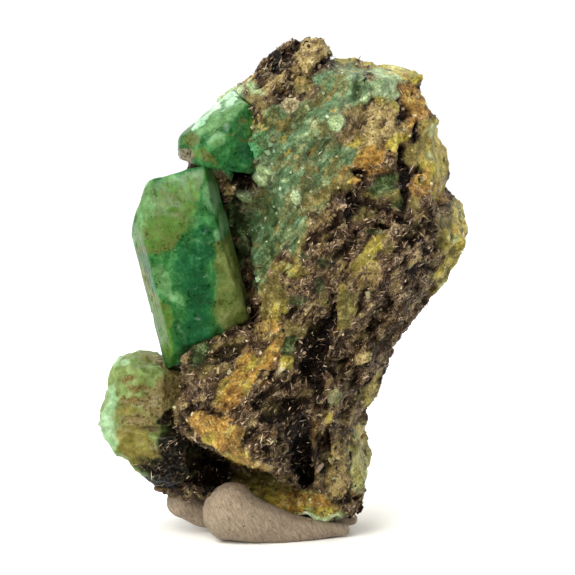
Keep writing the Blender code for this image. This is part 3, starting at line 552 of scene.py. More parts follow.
def mesh_from(name, points, polygons, flat=False):
    """A mesh from an array of points in millimetres and arrays of polygons' corner numbers."""
    corners = np.concatenate([faces.ravel() for faces in polygons]).astype(np.int32)
    counts = np.concatenate([np.full(len(faces), faces.shape[1]) for faces in polygons])
    mesh = bpy.data.meshes.new(name)
    mesh.vertices.add(len(points))
    mesh.vertices.foreach_set("co", (points * MM).astype(np.float32).ravel())
    mesh.loops.add(len(corners))
    mesh.loops.foreach_set("vertex_index", corners)
    mesh.polygons.add(len(counts))
    mesh.polygons.foreach_set("loop_start", (np.cumsum(counts) - counts).astype(np.int32))
    mesh.polygons.foreach_set("use_smooth", np.full(len(counts), not flat))
    mesh.update(calc_edges=True)
    return mesh


def closed_skin(name, *grids):
    """A closed skin over each grid of rows from a lower pole to an upper one, its columns all the
    way round anticlockwise from above: quads between rows, a fan to the middle of each end row."""
    points, polygons, first = [], [], 0
    for grid in grids:
        rows, columns = grid.shape[:2]
        points += [grid.reshape(-1, 3), grid[0].mean(axis=0)[None], grid[-1].mean(axis=0)[None]]
        index = first + np.arange(rows * columns).reshape(rows, columns)
        first += rows * columns + 2
        after = np.roll(index, -1, axis=1)
        polygons.append(np.stack([index[:-1], after[:-1], after[1:], index[1:]], axis=-1).reshape(-1, 4))
        polygons.append(np.stack([np.full(columns, first - 2), after[0], index[0]], axis=-1))
        polygons.append(np.stack([np.full(columns, first - 1), index[-1], after[-1]], axis=-1))
    return mesh_from(name, np.concatenate(points), polygons)


def give_shares(mesh, name, shares):
    """Stores shares, one column to a mineral or tint, as colour attributes of three each. The
    skin's two pole points, which the grid doesn't hold, take the first and last rows' values."""
    count = len(mesh.vertices)
    full = np.concatenate([shares, shares[:1], shares[-1:]])[:count]
    for first in range(0, shares.shape[1], 3):
        colour = np.ones((count, 4), dtype=np.float32)
        colour[:, :3] = full[:, first:first + 3]
        made = mesh.attributes.new(f"{name}_{first // 3 + 1}", "FLOAT_COLOR", "POINT")
        made.data.foreach_set("color", colour.ravel())


def give_number(mesh, name, values):
    made = mesh.attributes.new(name, "FLOAT", "POINT")
    made.data.foreach_set("value", values.astype(np.float32))


def add_piece(name, mesh, material, slot, *replaced):
    piece = bpy.data.objects.new(name, mesh)
    bpy.context.scene.collection.objects.link(piece)
    mesh.materials.append(material)
    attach(piece, "root")
    for node_name in replaced:
        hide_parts(node_name)
    return piece


# Minerals and tints by place

def seen(points):
    """Where the viewer of the show side sees each point: its shadow on the plane through AIM,
    cast from VIEW_DISTANCE away and VIEW_RISE degrees above. Across and up are columns 0 and 2."""
    rise = radians(VIEW_RISE)
    off = points - np.array(AIM)
    depth = off[..., 1] * cos(rise) - off[..., 2] * sin(rise)
    shrink = VIEW_DISTANCE / (VIEW_DISTANCE + depth)
    up = (off[..., 1] * sin(rise) + off[..., 2] * cos(rise)) * shrink
    return np.stack([AIM[0] + off[..., 0] * shrink, points[..., 1], AIM[2] + up], axis=-1)


def patch_fields(points, names, patches, warp, seed):
    """How strongly each mineral claims each point: the most of its patches' claims, each of
    which falls from its strength inside PATCH_FADE of its reach to nothing outside. The points
    are shaken by noise first, so that borders are ragged."""
    shaken = seen(points)
    for axis, size, amount in BORDER_SHAKES:
        shift = layered(points, size, seed + axis * 7 + int(size * 10), 2) - 0.5
        shaken[..., axis] += shift * amount * 2 * warp
    fields = np.zeros(points.shape[:-1] + (len(names),))
    for number, name in enumerate(names):
        for across, up, reach, aside, tilt, strength in patches.get(name, ()):
            off = turned(shaken - (across, 0.0, up), tilt)
            far = np.hypot(off[..., 0] / reach, off[..., 2] / aside)
            claim = strength * (1 - smooth(*PATCH_FADE, far))
            fields[..., number] = np.maximum(fields[..., number], claim)
    return fields


def settle(fields, points, seed, speckle, sharpness):
    """Turns claims into shares that add up to 1: e to the power of sharpness times the claim,
    over the sum, with claims near nothing pushed well under it. Fine noise on each claim makes
    the minerals run into each other in specks."""
    fields = fields - FAINT_LOSS * (1 - smooth(0.0, FAINT_CLAIM, fields))
    for number in range(fields.shape[-1]):
        grain = layered(points, SPECKLE_SIZE, seed + 11 * number, 2) - 0.5
        fields[..., number] += speckle * grain * 2
    powers = np.exp(sharpness * (fields - fields.max(axis=-1, keepdims=True)))
    return powers / powers.sum(axis=-1, keepdims=True)


def add_veins(points, fields):
    """Finer minerals inside the one that leads at each point: silt and pale lenses along the
    layers in the green beryl, black pockets and tan crumbs in the schist, rust in the ochre."""
    layers = turned(points, LAYERS_RISE) / np.array(VEIN_STRETCH)
    ranked = np.sort(fields, axis=-1)
    for name, within, size, low, high, strength, seed in VEINS:
        host = fields[..., MINERALS.index(within)]
        rival = np.where(host < ranked[..., -1], ranked[..., -1], ranked[..., -2])
        cloud = smooth(low, high, layered(layers, size, seed, 3))
        vein = strength * host * smooth(*LEADING, host - rival) * cloud
        fields[..., MINERALS.index(name)] = np.maximum(fields[..., MINERALS.index(name)], vein)


def rock_shares(points):
    """The rock's minerals: the show side's patches in front, zones by formula behind."""
    front = patch_fields(points, MINERALS, SHOW_SIDE, 0.7, 500)
    back = np.zeros_like(front)
    layers = turned(points, LAYERS_RISE) / np.array(ZONE_STRETCH)
    for name, (size, share, seed) in HIDDEN_ZONES.items():
        cloud = layered(layers, size, seed, 3)
        edge = smooth(share + ZONE_EDGE[0], share + ZONE_EDGE[1], cloud)
        back[..., MINERALS.index(name)] = ZONE_STRENGTH * edge
    waver = WAVER * (layered(points, WAVER_SIZE, 77) - 0.5)
    behind = smooth(*SHOW_DEPTH, points[..., 1] + waver)[..., None]
    fields = front * (1 - behind) + back * behind
    schist = fields[..., MINERALS.index("schist")]
    fields[..., MINERALS.index("schist")] = np.maximum(schist, SCHIST_EVERYWHERE)
    add_veins(points, fields)
    return settle(fields, points, 900, speckle=0.18, sharpness=9.0)


# The rock

def rock_surface(around, up):
    """The rock's surface and its outward direction. around is the angle from +X towards +Y and
    up runs 0 to 1 from toe to peak along the levels; the section is a squared ellipse, chipped
    away from the core line, then pushed in and out at the named places by bells e^(-d^3.2)."""
    steps = np.linalg.norm(np.diff(LEVELS, axis=0), axis=1)
    along = np.concatenate(([0.0], np.cumsum(steps)))
    at = up * along[-1]
    height, left, right, front, back = (np.interp(at, along, LEVELS[:, k]) for k in range(5))
    across, deep = np.cos(around), np.sin(around)
    squared = np.abs(across) ** SECTION_POWER + np.abs(deep) ** SECTION_POWER
    squared = squared ** (-1 / SECTION_POWER)
    middle = np.stack([(left + right) / 2, (front + back) / 2, height], axis=-1)
    points = middle + np.stack([
        (right - left) / 2 * across * squared,
        (back - front) / 2 * deep * squared,
        np.zeros_like(height),
    ], axis=-1)
    core = middle.copy()
    core[..., 2] = np.clip(height, CORE_LOW, CORE_HIGH)
    outward = unit(points - core)
    whole = points - (points @ LAYERS_RUN)[..., None] * LAYERS_RUN * (1 - 1 / LAYERS_STRETCH)
    for size, depth, lean, seed in CHIPS:
        points = points + outward * (depth * (chips(whole, size, lean, seed) - CHIP_LEVEL))[..., None]
    for centre, reach, tilt, push in PUSHES:
        away = turned(points - centre, tilt) / np.array(reach)
        far = (away ** 2).sum(axis=-1)
        points = points + np.exp(-far ** PUSH_POWER)[..., None] * np.array(push)
    return points, outward


def rock_grid():
    """The grid's (around, up): rows spaced by how far the levels move, shelves counting less,
    and columns at u - FRONT_SHARE cos u, which draws them together on the show side."""
    moves = np.diff(LEVELS, axis=0)
    full = np.concatenate(([0.0], np.cumsum(np.linalg.norm(moves, axis=1))))
    moves[:, 1:] *= SHELF_SHARE
    even = np.concatenate(([0.0], np.cumsum(np.linalg.norm(moves, axis=1))))
    rows = np.linspace(0, 1, ROCK_ROWS + 2)[1:-1]
    up = np.interp(rows * even[-1], even, full) / full[-1]
    turn = np.linspace(0, 2 * pi, ROCK_COLUMNS, endpoint=False)
    around = turn - FRONT_SHARE * np.cos(turn)
    return np.meshgrid(around, up)


def grid_normals(grid):
    """Outward normals and the skin's area at each grid point, from its neighbours' differences."""
    along = np.roll(grid, -1, axis=1) - np.roll(grid, 1, axis=1)
    up = np.gradient(grid, axis=0)
    crossed = np.cross(along / 2, up)
    area = np.linalg.norm(crossed, axis=-1)
    return crossed / np.maximum(area, 1e-9)[..., None], area


def fine_relief(points, shares):
    """How far the fine relief lifts each point: ridges along the layers, leaning facets and
    crumbs, each in the amount that the minerals there have."""
    layers = turned(points, LAYERS_RISE)
    ridge = 1 - np.abs(2 * layered(layers, RIDGE_SIZE, 41, 3) - 1) * 2
    facet = chips(layers / np.array(FACET_STRETCH), FACET_SIZE, FACET_LEAN, 51) - CHIP_LEVEL
    crumb = chips(points, CRUMB_SIZE, CRUMB_LEAN, 61) - CHIP_LEVEL
    amounts = shares @ np.array([RELIEF[name] for name in MINERALS])
    return ridge * amounts[..., 0] + facet * amounts[..., 1] + crumb * amounts[..., 2] + amounts[..., 3]


def face_planes(middle, faces, lean=0.0):
    """A crystal's middle, its faces' outward normals, and their distances from the middle."""
    turn, rise, distance = np.array(faces, dtype=float).T
    turn, rise = np.radians(turn), np.radians(rise)
    side = np.stack([np.sin(turn) * np.cos(rise), -np.cos(turn) * np.cos(rise), np.sin(rise)], axis=-1)
    return np.array(middle), turned(side, -lean), distance


def press_in(points, inward, crystals):
    """Points inside a crystal move along inward until they leave it, which makes its socket."""
    moved = np.zeros(points.shape[:-1])
    for middle, normals, distances in crystals:
        room = distances - (points - middle) @ normals.T
        inside = (room > 0).all(axis=-1)
        facing = inward @ normals.T
        leaving = np.where(facing > 0.02, room / np.maximum(facing, 0.02), np.inf).min(axis=-1)
        step = np.where(inside, leaving, 0.0)
        points = points + inward * step[..., None]
        moved += step
    return points, moved


PRISM = face_planes(PRISM_MIDDLE, PRISM_FACES, PRISM_LEAN)
UPPER = face_planes(UPPER_MIDDLE, UPPER_FACES)
BERYL = [face_planes(middle, faces) for middle, faces in BERYL_LUMPS]


def ground(points, open_share, shares):
    """A skin's grid as flat arrays for strewing: its normals, the area that each point stands
    for where it is open, and its minerals' shares."""
    normals, area = grid_normals(points)
    return {
        "points": points.reshape(-1, 3), "normals": normals.reshape(-1, 3),
        "area": (area * open_share).reshape(-1), "shares": shares.reshape(-1, len(MINERALS)),
    }


def build_rock():
    """The rock's skin, pressed in where the crystals sit; gives back the ground outside them."""
    points, outward = rock_surface(*rock_grid())
    shares = rock_shares(points)
    normals, _ = grid_normals(points)
    points = points + normals * fine_relief(points, shares)[..., None]
    moved = 0.0
    for _ in range(2):
        points, step = press_in(points, -outward, [PRISM, UPPER, *BERYL])
        moved = moved + step
    mesh = closed_skin("matrix_rock", points)
    give_shares(mesh, "minerals", shares.reshape(-1, len(MINERALS)))
    add_piece("matrix_rock", mesh, rock_material(), "mica_schist", "matrix")
    corner = smooth(*BARE_BELOW, points[..., 2]) * smooth(*BARE_LEFT, points[..., 0])
    return ground(points, (moved < 0.01) * (1 - corner), shares)


# The crystals

def crystal_grid(lumps, centre, lean, rows, columns, edge, seam=SEAM_SHARPNESS):
    """A crystal's skin seen from its centre: along each direction d, a lump's face is met at
    1 / (sum of (n.d / distance)^edge)^(1/edge), which is the nearest face with its edges a little
    worn, and lumps grown together are met at the same kind of mean with seam, turned over."""
    polar = np.linspace(0, pi, rows + 2)[1:-1][:, None]
    around = np.linspace(0, 2 * pi, columns, endpoint=False)[None, :]
    ways = turned(np.stack([
        np.sin(polar) * np.cos(around), np.sin(polar) * np.sin(around), -np.cos(polar) + 0 * around,
    ], axis=-1), -lean)
    reaches = []
    for middle, normals, distances in lumps:
        room = distances - normals @ (np.array(centre) - middle)
        facing = np.maximum(ways @ normals.T, 0) / room
        reaches.append((facing ** edge).sum(axis=-1) ** (-1 / edge))
    reach = (np.array(reaches) ** seam).sum(axis=0) ** (1 / seam)
    return np.array(centre) + ways * reach[..., None], ways


def crystal_relief(points, lean, roughness, worn, seed):
    """Growth lines along the axis, low facets, scattered pits and, on a worn one, swellings."""
    line = layered(turned(points, lean) / np.array(LINE_STRETCH), LINE_SIZE, seed, 3) - 0.5
    plate = chips(points, PLATE_SIZE, PLATE_LEAN, seed + 5) - CHIP_LEVEL
    nick = chips(points, NICK_SIZE, NICK_LEAN, seed + 9) - CHIP_LEVEL
    swell = layered(points, SWELL_SIZE, seed + 21, 2) - 0.5
    pit = smooth(*PIT_SHARE, layered(points, PIT_SIZE, seed + 15, 3))
    broken = PLATE_HEIGHT * plate + NICK_HEIGHT * nick + SWELL_HEIGHT * worn * swell
    return LINE_HEIGHT * line + roughness * broken - PIT_DEPTH * pit


def build_crystal(name, node_name, slot, material, lumps, centre, size, rough, worn, tints, patches,
                  seed, lean=0.0):
    """One crystal or cluster: its skin with relief, and its tints' shares. rough gives the
    relief's strength and how much a broken top adds."""
    grid, ways = crystal_grid(lumps, centre, lean, *size, edge=EDGE_SHARPNESS - EDGE_WEAR * worn)
    roughness = rough[0] + rough[1] * smooth(*BROKEN_TOP, grid[..., 2] + 0.2 * grid[..., 0])
    grid = grid + ways * crystal_relief(grid, lean, roughness, worn, seed)[..., None]
    fields = patch_fields(grid, tints, patches, 0.9, seed + 40)
    fields[..., 0] = FIRST_TINT_EVERYWHERE
    shares = settle(fields, grid, seed + 60, speckle=0.22, sharpness=6.0)
    mesh = closed_skin(name, grid)
    give_shares(mesh, "tints", shares.reshape(-1, len(tints)))
    add_piece(name, mesh, material, slot, node_name)
    return grid, shares


def build_crystals():
    """The three crystals, giving back the ground where mica has crusted the beryl's dark foot, whose
    dark is black mica and painted shade.
    """
    build_crystal(
        "emerald_prism_crystal", "emerald_prism", "emerald", emerald_material("prism_emerald"),
        [PRISM], PRISM_MIDDLE, (230, 260), (0.35, 0.9), 0.0, EMERALD_TINTS, PRISM_PATCHES, 1200, PRISM_LEAN)
    build_crystal(
        "upper_emerald_crystal", "upper_emerald", "emerald", emerald_material("upper_emerald"),
        [UPPER], UPPER_CENTRE, (170, 200), (1.1, 0.0), 0.35, EMERALD_TINTS, UPPER_PATCHES, 1400)
    grid, shares = build_crystal(
        "pale_beryl_cluster", "pale_beryl", "pale_beryl", beryl_material(),
        BERYL, BERYL_CENTRE, (220, 240), (2.2, 0.0), 0.85, BERYL_TINTS, BERYL_PATCHES, 1600)
    dark = smooth(0.35, 0.6, shares[..., BERYL_TINTS.index("dark")])
    crusted = np.zeros(dark.shape + (len(MINERALS),))
    crusted[..., MINERALS.index("schist")] = 0.5 * dark
    crusted[..., MINERALS.index("black")] = dark
    return ground(grid, CRUST_SHARE * dark, crusted)


# Small things strewn over the rock

def strewn(name, template, places, frames, sizes, curl, material, numbers, ragged, seed):
    """One template, in its own along, aside and out, placed many times. Each copy is scaled by
    its sizes, its outline made ragged at random, and bent so that out rises as curl along^2."""
    rng = np.random.default_rng(seed)
    outline, faces = template
    copies, corners = len(places), len(outline)
    shaped = outline[None] * sizes[:, None, :]
    shaped = shaped * (1 + ragged * rng.uniform(-1, 1, (copies, corners, 1)))
    shaped[..., 2] += curl[:, None] * shaped[..., 0] ** 2
    points = places[:, None, :] + np.einsum("nci,nij->ncj", shaped, frames)
    shift = (np.arange(copies) * corners)[:, None, None]
    polygons = [(group[None] + shift).reshape(-1, group.shape[1]) for group in faces]
    mesh = mesh_from(name, points.reshape(-1, 3), polygons, flat=True)
    for number_name, values in numbers.items():
        give_number(mesh, number_name, np.repeat(values, corners))
    add_piece(name, mesh, material, "mica_schist")


def weighed(surface, weights):
    """The sum of the minerals' shares at each grid point, each times its weight."""
    return sum(weight * surface["shares"][:, MINERALS.index(name)] for name, weight in weights.items())


def pick(rng, surface, chance, count):
    """Grid points drawn at random, each by its chance times the skin's area there."""
    odds = np.clip(chance, 0, None) * surface["area"]
    drawn = rng.choice(len(odds), count, p=odds / odds.sum())
    places = surface["points"][drawn] + rng.uniform(-0.09, 0.09, (count, 3))
    return drawn, places, surface["normals"][drawn]


def frames_from(along, out):
    """Frames whose rows are along, aside and out, with out squared up against along."""
    along = unit(along)
    out = unit(out - (out * along).sum(axis=-1, keepdims=True) * along)
    return np.stack([along, np.cross(out, along), out], axis=1)


def plate_template(sides=6):
    """A thin plate with a round-cornered outline: a lower and an upper ring, two caps, a rim."""
    turn = np.linspace(0, 2 * pi, sides, endpoint=False)
    ring = np.stack([np.cos(turn), np.sin(turn)], axis=-1) / 2
    low = np.column_stack([ring, np.full(sides, -0.5)])
    high = np.column_stack([ring * 0.92, np.full(sides, 0.5)])
    near = np.arange(sides)
    after = np.roll(near, -1)
    rim = np.stack([near, after, after + sides, near + sides], axis=-1)
    caps = np.stack([near[::-1], near + sides])
    return np.concatenate([low, high]), [rim, caps]


def fibre_template(stations=3):
    """A three-sided splinter that thins to both ends."""
    along = np.linspace(-0.5, 0.5, stations)
    width = 1 - 0.75 * np.abs(along * 2) ** 2
    turn = np.linspace(0, 2 * pi, 3, endpoint=False)
    points = np.stack([
        np.repeat(along, 3),
        (width[:, None] * np.cos(turn)[None] / 2).ravel(),
        (width[:, None] * np.sin(turn)[None] / 2).ravel(),
    ], axis=-1)
    index = np.arange(stations * 3).reshape(stations, 3)
    after = np.roll(index, -1, axis=1)
    sides = np.stack([index[:-1], index[1:], after[1:], after[:-1]], axis=-1).reshape(-1, 4)
    ends = np.stack([index[0], index[-1][::-1]])
    return points, [sides[:, ::-1], ends[:, ::-1]]


def crumb_template():
    """A lump with eight corners and twelve flat sides, an octahedron with its belly split."""
    corners = np.array([(x, y, z) for z in (-1, 1) for x, y in ((-1, -1), (1, -1), (1, 1), (-1, 1))])
    squares = np.array(((0, 3, 2, 1), (4, 5, 6, 7), (0, 1, 5, 4), (1, 2, 6, 5), (2, 3, 7, 6), (3, 0, 4, 7)))
    return corners / 2.4, [squares]


def build_flakes(surface):
    """Books of mica, nearly flat in the layers, standing a little out of the rock."""
    rng = np.random.default_rng(71)
    chance = weighed(surface, {"schist": 1, "black": 0.5, "tan": 0.10, "teal": 0.03})
    drawn, places, normals = pick(rng, surface, chance, FLAKES)
    out = unit(LAYERS_SQUARE + 0.6 * rng.normal(size=(FLAKES, 3)) + 0.8 * normals)
    along = LAYERS_RUN + 0.45 * rng.normal(size=(FLAKES, 3))
    long = rng.lognormal(*MICA_LENGTH, FLAKES).clip(*MICA_RANGE)
    sizes = np.stack([long, long * rng.uniform(0.35, 0.9, FLAKES), rng.uniform(0.03, 0.09, FLAKES)], axis=1)
    sunk = 0.22 * long + 0.20 * smooth(*FACING_AWAY, normals[:, 1])
    places = places + normals * (rng.uniform(*FLAKE_LIFT, FLAKES) - sunk)[:, None]
    # darker where black holds the rock, which is partly painted shade
    tone = rng.beta(0.8, 2.3, FLAKES) * (1 - 0.65 * weighed(surface, {"black": 1})[drawn])
    strewn("mica_flakes", plate_template(), places, frames_from(along, out), sizes,
           rng.normal(0, 0.25, FLAKES), mica_material(), {"tone": tone}, 0.18, 72)


def build_fibres(surface):
    """Curled splinters of bleached mica that catch the light in the schist."""
    rng = np.random.default_rng(81)
    chance = weighed(surface, {"schist": 1, "tan": 0.35, "black": 0.45, "ochre": 0.06})
    chance = chance * (1 + 1.5 * smooth(0.1, -0.5, surface["normals"][:, 1]))
    _, places, normals = pick(rng, surface, chance, SPLINTERS)
    along = LAYERS_RUN * rng.choice((-1, 1), (SPLINTERS, 1)) + 0.9 * rng.normal(size=(SPLINTERS, 3))
    along = along - (along * normals).sum(axis=-1, keepdims=True) * normals * 0.9
    away = smooth(*FACING_AWAY, normals[:, 1])
    long = rng.lognormal(*MICA_LENGTH, SPLINTERS).clip(*MICA_RANGE) * (1 - 0.4 * away)
    wide = rng.uniform(0.05, 0.11, SPLINTERS)
    sizes = np.stack([long, wide, wide * 0.8], axis=1)
    places = places + normals * (rng.uniform(*SPLINTER_LIFT, SPLINTERS) - 0.16 * away)[:, None]
    tone = 0.30 + 0.70 * rng.beta(1.3, 1.5, SPLINTERS)
    strewn("mica_splinters", fibre_template(), places, frames_from(along, normals + 0.2), sizes,
           rng.normal(0, 0.5, SPLINTERS), mica_material(), {"tone": tone}, 0.06, 82)


def build_crumbs(surface):
    """Broken grains of beryl, quartz and feldspar that cover the green and yellow parts."""
    rng = np.random.default_rng(91)
    chance = weighed(surface, {
        "teal": 0.25, "lime": 0.3, "ochre": 0.5, "tan": 1, "olive": 0.5, "rust": 0.4, "grey": 0.5,
        "schist": 0.15})
    drawn, places, normals = pick(rng, surface, chance, CRUMBS)
    size = rng.lognormal(*CRUMB_SPREAD, CRUMBS).clip(*CRUMB_RANGE)
    sizes = size[:, None] * rng.uniform(0.6, 1.35, (CRUMBS, 3))
    places = places - normals * (size * 0.38)[:, None]
    frames = frames_from(rng.normal(size=(CRUMBS, 3)), rng.normal(size=(CRUMBS, 3)))
    green = weighed(surface, {"teal": 1, "pale": 1, "vivid": 1, "dark_teal_and_shade": 0.7})[drawn]
    yellow = weighed(surface, {"lime": 1, "ochre": 0.7, "olive": 0.5})[drawn]
    numbers = {
        "green": green + 0.15 * rng.normal(size=CRUMBS),
        "yellow": yellow + 0.15 * rng.normal(size=CRUMBS),
        "tone": rng.uniform(0, 1, CRUMBS),
    }
    strewn("beryl_and_feldspar_crumbs", crumb_template(), places, frames, sizes, np.zeros(CRUMBS),
           crumb_material(), numbers, 0.30, 92)


# The putty

def putty_roll(start, bend, end, start_radius, end_radius, seed):
    """A roll with round ends along the curve that start, bend and end draw, its radius running
    from one end to the other, with finger lines across it and the underside pressed flat."""
    start, bend, end = (np.array(place) for place in (start, bend, end))
    height = -np.cos(np.linspace(0, pi, PUTTY_ROWS + 2)[1:-1])[:, None]
    around = np.linspace(0, 2 * pi, PUTTY_COLUMNS, endpoint=False)[None, :]
    share = np.clip(height + 0.5, 0, 1)
    centre = ((1 - share) ** 2)[..., None] * start + (2 * share * (1 - share))[..., None] * bend
    centre = centre + (share ** 2)[..., None] * end
    along = unit((1 - share)[..., None] * (bend - start) + share[..., None] * (end - bend))
    side = unit(np.cross(along, np.array([0.0, 0.0, 1.0])))
    over = np.cross(side, along)
    radius = start_radius + (end_radius - start_radius) * share
    stretch = np.clip(np.abs(height) * 2 - 1, 0, 1) * np.sign(height)
    ring = np.sqrt(1 - stretch ** 2)
    skin = (side * (np.cos(around) * ring)[..., None] + over * (np.sin(around) * ring)[..., None]
            + along * (stretch + 0 * around)[..., None])
    points = centre + skin * radius[..., None]
    slanted = points @ np.array([[1, 0, 0], [0, 1, 0], [0.55, 0, 1]]) / np.array(FINGER_LINE_STRETCH)
    lines = layered(slanted, FINGER_LINE_SIZE, seed, 3) - 0.5
    dents = layered(points, DENT_SIZE, seed + 9, 3) - 0.5
    points = points + skin * (FINGER_LINE_HEIGHT * lines + DENT_HEIGHT * dents)[..., None]
    points[..., 2] = np.where(points[..., 2] < GROUND_SLACK, 0.0, points[..., 2])
    return points


def build_putty():
    skins = [putty_roll(*roll, seed=2000 + 50 * number) for number, roll in enumerate(PUTTY_ROLLS)]
    mesh = closed_skin("display_putty_rolls", *skins)
    add_piece("display_putty_rolls", mesh, putty_material(), "putty", "mounting_putty")


# Materials

def linear(colour):
    """An sRGB hex colour as linear red, green, blue and full alpha."""
    parts = [int(colour[k:k + 2], 16) / 255 for k in (1, 3, 5)]
    return [part / 12.92 if part <= 0.04045 else ((part + 0.055) / 1.055) ** 2.4 for part in parts] + [1.0]


def node(tree, kind, inputs=None, stops=None, **settings):
    """Adds a node with its settings. inputs gives its sockets by name or number, each a value or
    the output of another node, and stops gives a colour ramp's places and hex colours."""
    made = tree.nodes.new(kind)
    for name, value in settings.items():
        setattr(made, name, value)
    for socket, value in (inputs or {}).items():
        if isinstance(value, bpy.types.NodeSocket):
            tree.links.new(value, made.inputs[socket])
        else:
            made.inputs[socket].default_value = value
    if stops:
        ramp = made.color_ramp
        while len(ramp.elements) < len(stops):
            ramp.elements.new(0.5)
        for element, (place, colour) in zip(ramp.elements, stops):
            element.position = place
            element.color = linear(colour)
    return made

# Short forms of the nodes that every material uses, each giving its result

def object_place(tree):
    return node(tree, "ShaderNodeTexCoord").outputs["Object"]


def stretched(tree, place, rise, sizes):
    """Coordinates turned by rise degrees about Y, in which these sizes in millimetres count as 1."""
    return node(tree, "ShaderNodeMapping", {
        "Vector": place, "Rotation": (0.0, radians(rise), 0.0), "Scale": [size * MM for size in sizes],
    }, vector_type="TEXTURE").outputs[0]


def cloudy(tree, place, scale, detail, roughness=0.5, twist=0.0):
    return node(tree, "ShaderNodeTexNoise", {
        "Vector": place, "Scale": scale, "Detail": detail, "Roughness": roughness, "Distortion": twist,
    }).outputs["Fac"]


def maths(tree, operation, *values, clamped=False):
    made = node(tree, "ShaderNodeMath", dict(enumerate(values)), operation=operation, use_clamp=clamped)
    return made.outputs[0]


def mapped(tree, value, low, high, to_low, to_high):
    return node(tree, "ShaderNodeMapRange", {
        "Value": value, "From Min": low, "From Max": high, "To Min": to_low, "To Max": to_high}).outputs[0]


def mixed(tree, share, one, other):
    return node(tree, "ShaderNodeMix", {"Factor": share, 2: one, 3: other}).outputs[0]


def mixed_colour(tree, share, one, other):
    return node(tree, "ShaderNodeMix", {"Factor": share, 6: one, 7: other}, data_type="RGBA").outputs[2]


def ramp(tree, level, stops):
    return node(tree, "ShaderNodeValToRGB", {"Fac": level}, stops=stops).outputs["Color"]


def bumped(tree, height, strength, distance):
    return node(tree, "ShaderNodeBump", {
        "Height": height, "Strength": strength, "Distance": distance * MM}).outputs[0]


def start_material(name):
    made = bpy.data.materials.new(name)
    made.use_nodes = True
    made.node_tree.nodes.clear()
    return made, made.node_tree


def end_material(made, inputs, inside=None):
    """Ends a material with the shader and its inputs, and with what fills the body, if anything."""
    shader = node(made.node_tree, "ShaderNodeBsdfPrincipled", inputs)
    ends = {"Surface": shader.outputs["BSDF"]}
    if inside:
        ends["Volume"] = inside.outputs[0]
    node(made.node_tree, "ShaderNodeOutputMaterial", ends)
    return made


def rock_patterns(tree):
    """The patterns that the minerals are drawn with, each sized from millimetres: mottling, silt
    along the mica's layers, and a lace of curled mica edges, which is where a twisted noise is
    near its middle value, so that the lines are thin and wander."""
    place = object_place(tree)
    mottle = cloudy(tree, place, 1 / (0.85 * MM), 6.0, 0.62)
    grain = cloudy(tree, place, 1 / (0.17 * MM), 3.0, 0.6)
    streak = cloudy(tree, stretched(tree, place, -LAYERS_RISE, (1.3, 0.6, 0.24)), 1.0, 4.0, 0.6, 0.7)
    leaning = stretched(tree, place, -LAYERS_RISE, (1.0, 0.7, 0.55))
    lines = []
    for scale, twist, sharp in ((1.7, 1.8, 11.0), (3.2, 1.4, 10.0)):
        wander = cloudy(tree, leaning, scale, 1.5, 0.5, twist)
        off = maths(tree, "ABSOLUTE", maths(tree, "SUBTRACT", wander, 0.5))
        lines.append(maths(tree, "MULTIPLY_ADD", off, -sharp, 1.0, clamped=True))
    shade = mapped(tree, mottle, 0.38, 0.60, 0.15, 1.0)
    return {
        "mottle": mixed(tree, 0.4, mottle, grain), "grain": grain,
        "silt": mixed(tree, 0.3, mixed(tree, 0.45, streak, mottle), grain),
        "lace": maths(tree, "MULTIPLY", maths(tree, "MAXIMUM", *lines), shade),
    }


def weighted_sum(tree, attribute, recipes, patterns):
    """Each recipe's ramp colour times its share, added up; and the shares as vectors of three."""
    total, shares = (0.0, 0.0, 0.0), []
    for number, (pattern, colours) in enumerate(recipes):
        if number % 3 == 0:
            held = node(tree, "ShaderNodeAttribute", attribute_name=f"{attribute}_{number // 3 + 1}")
            parts = node(tree, "ShaderNodeSeparateColor", {0: held.outputs["Color"]})
            shares.append(held.outputs["Vector"])
        spread = LACE_SPREAD if pattern == "lace" else SPREAD
        colour = ramp(tree, patterns[pattern], list(zip(spread, colours.split())))
        total = node(tree, "ShaderNodeVectorMath", {0: colour, 1: parts.outputs[number % 3], 2: total},
                     operation="MULTIPLY_ADD").outputs[0]
    return total, shares


def by_share(tree, shares, values):
    """The shares' mean of one number for each mineral or tint."""
    total = 0.0
    for number, held in enumerate(shares):
        three = (list(values[number * 3:number * 3 + 3]) + [0.0, 0.0])[:3]
        dot = node(tree, "ShaderNodeVectorMath", {0: held, 1: three}, operation="DOT_PRODUCT")
        total = maths(tree, "ADD", dot.outputs["Value"], total)
    return total


# Where noise mostly lies, from its darkest twentieth to its lightest, for the five ramp colours
SPREAD = (0.38, 0.45, 0.50, 0.55, 0.62)
LACE_SPREAD = (0.0, 0.16, 0.38, 0.68, 1.0)

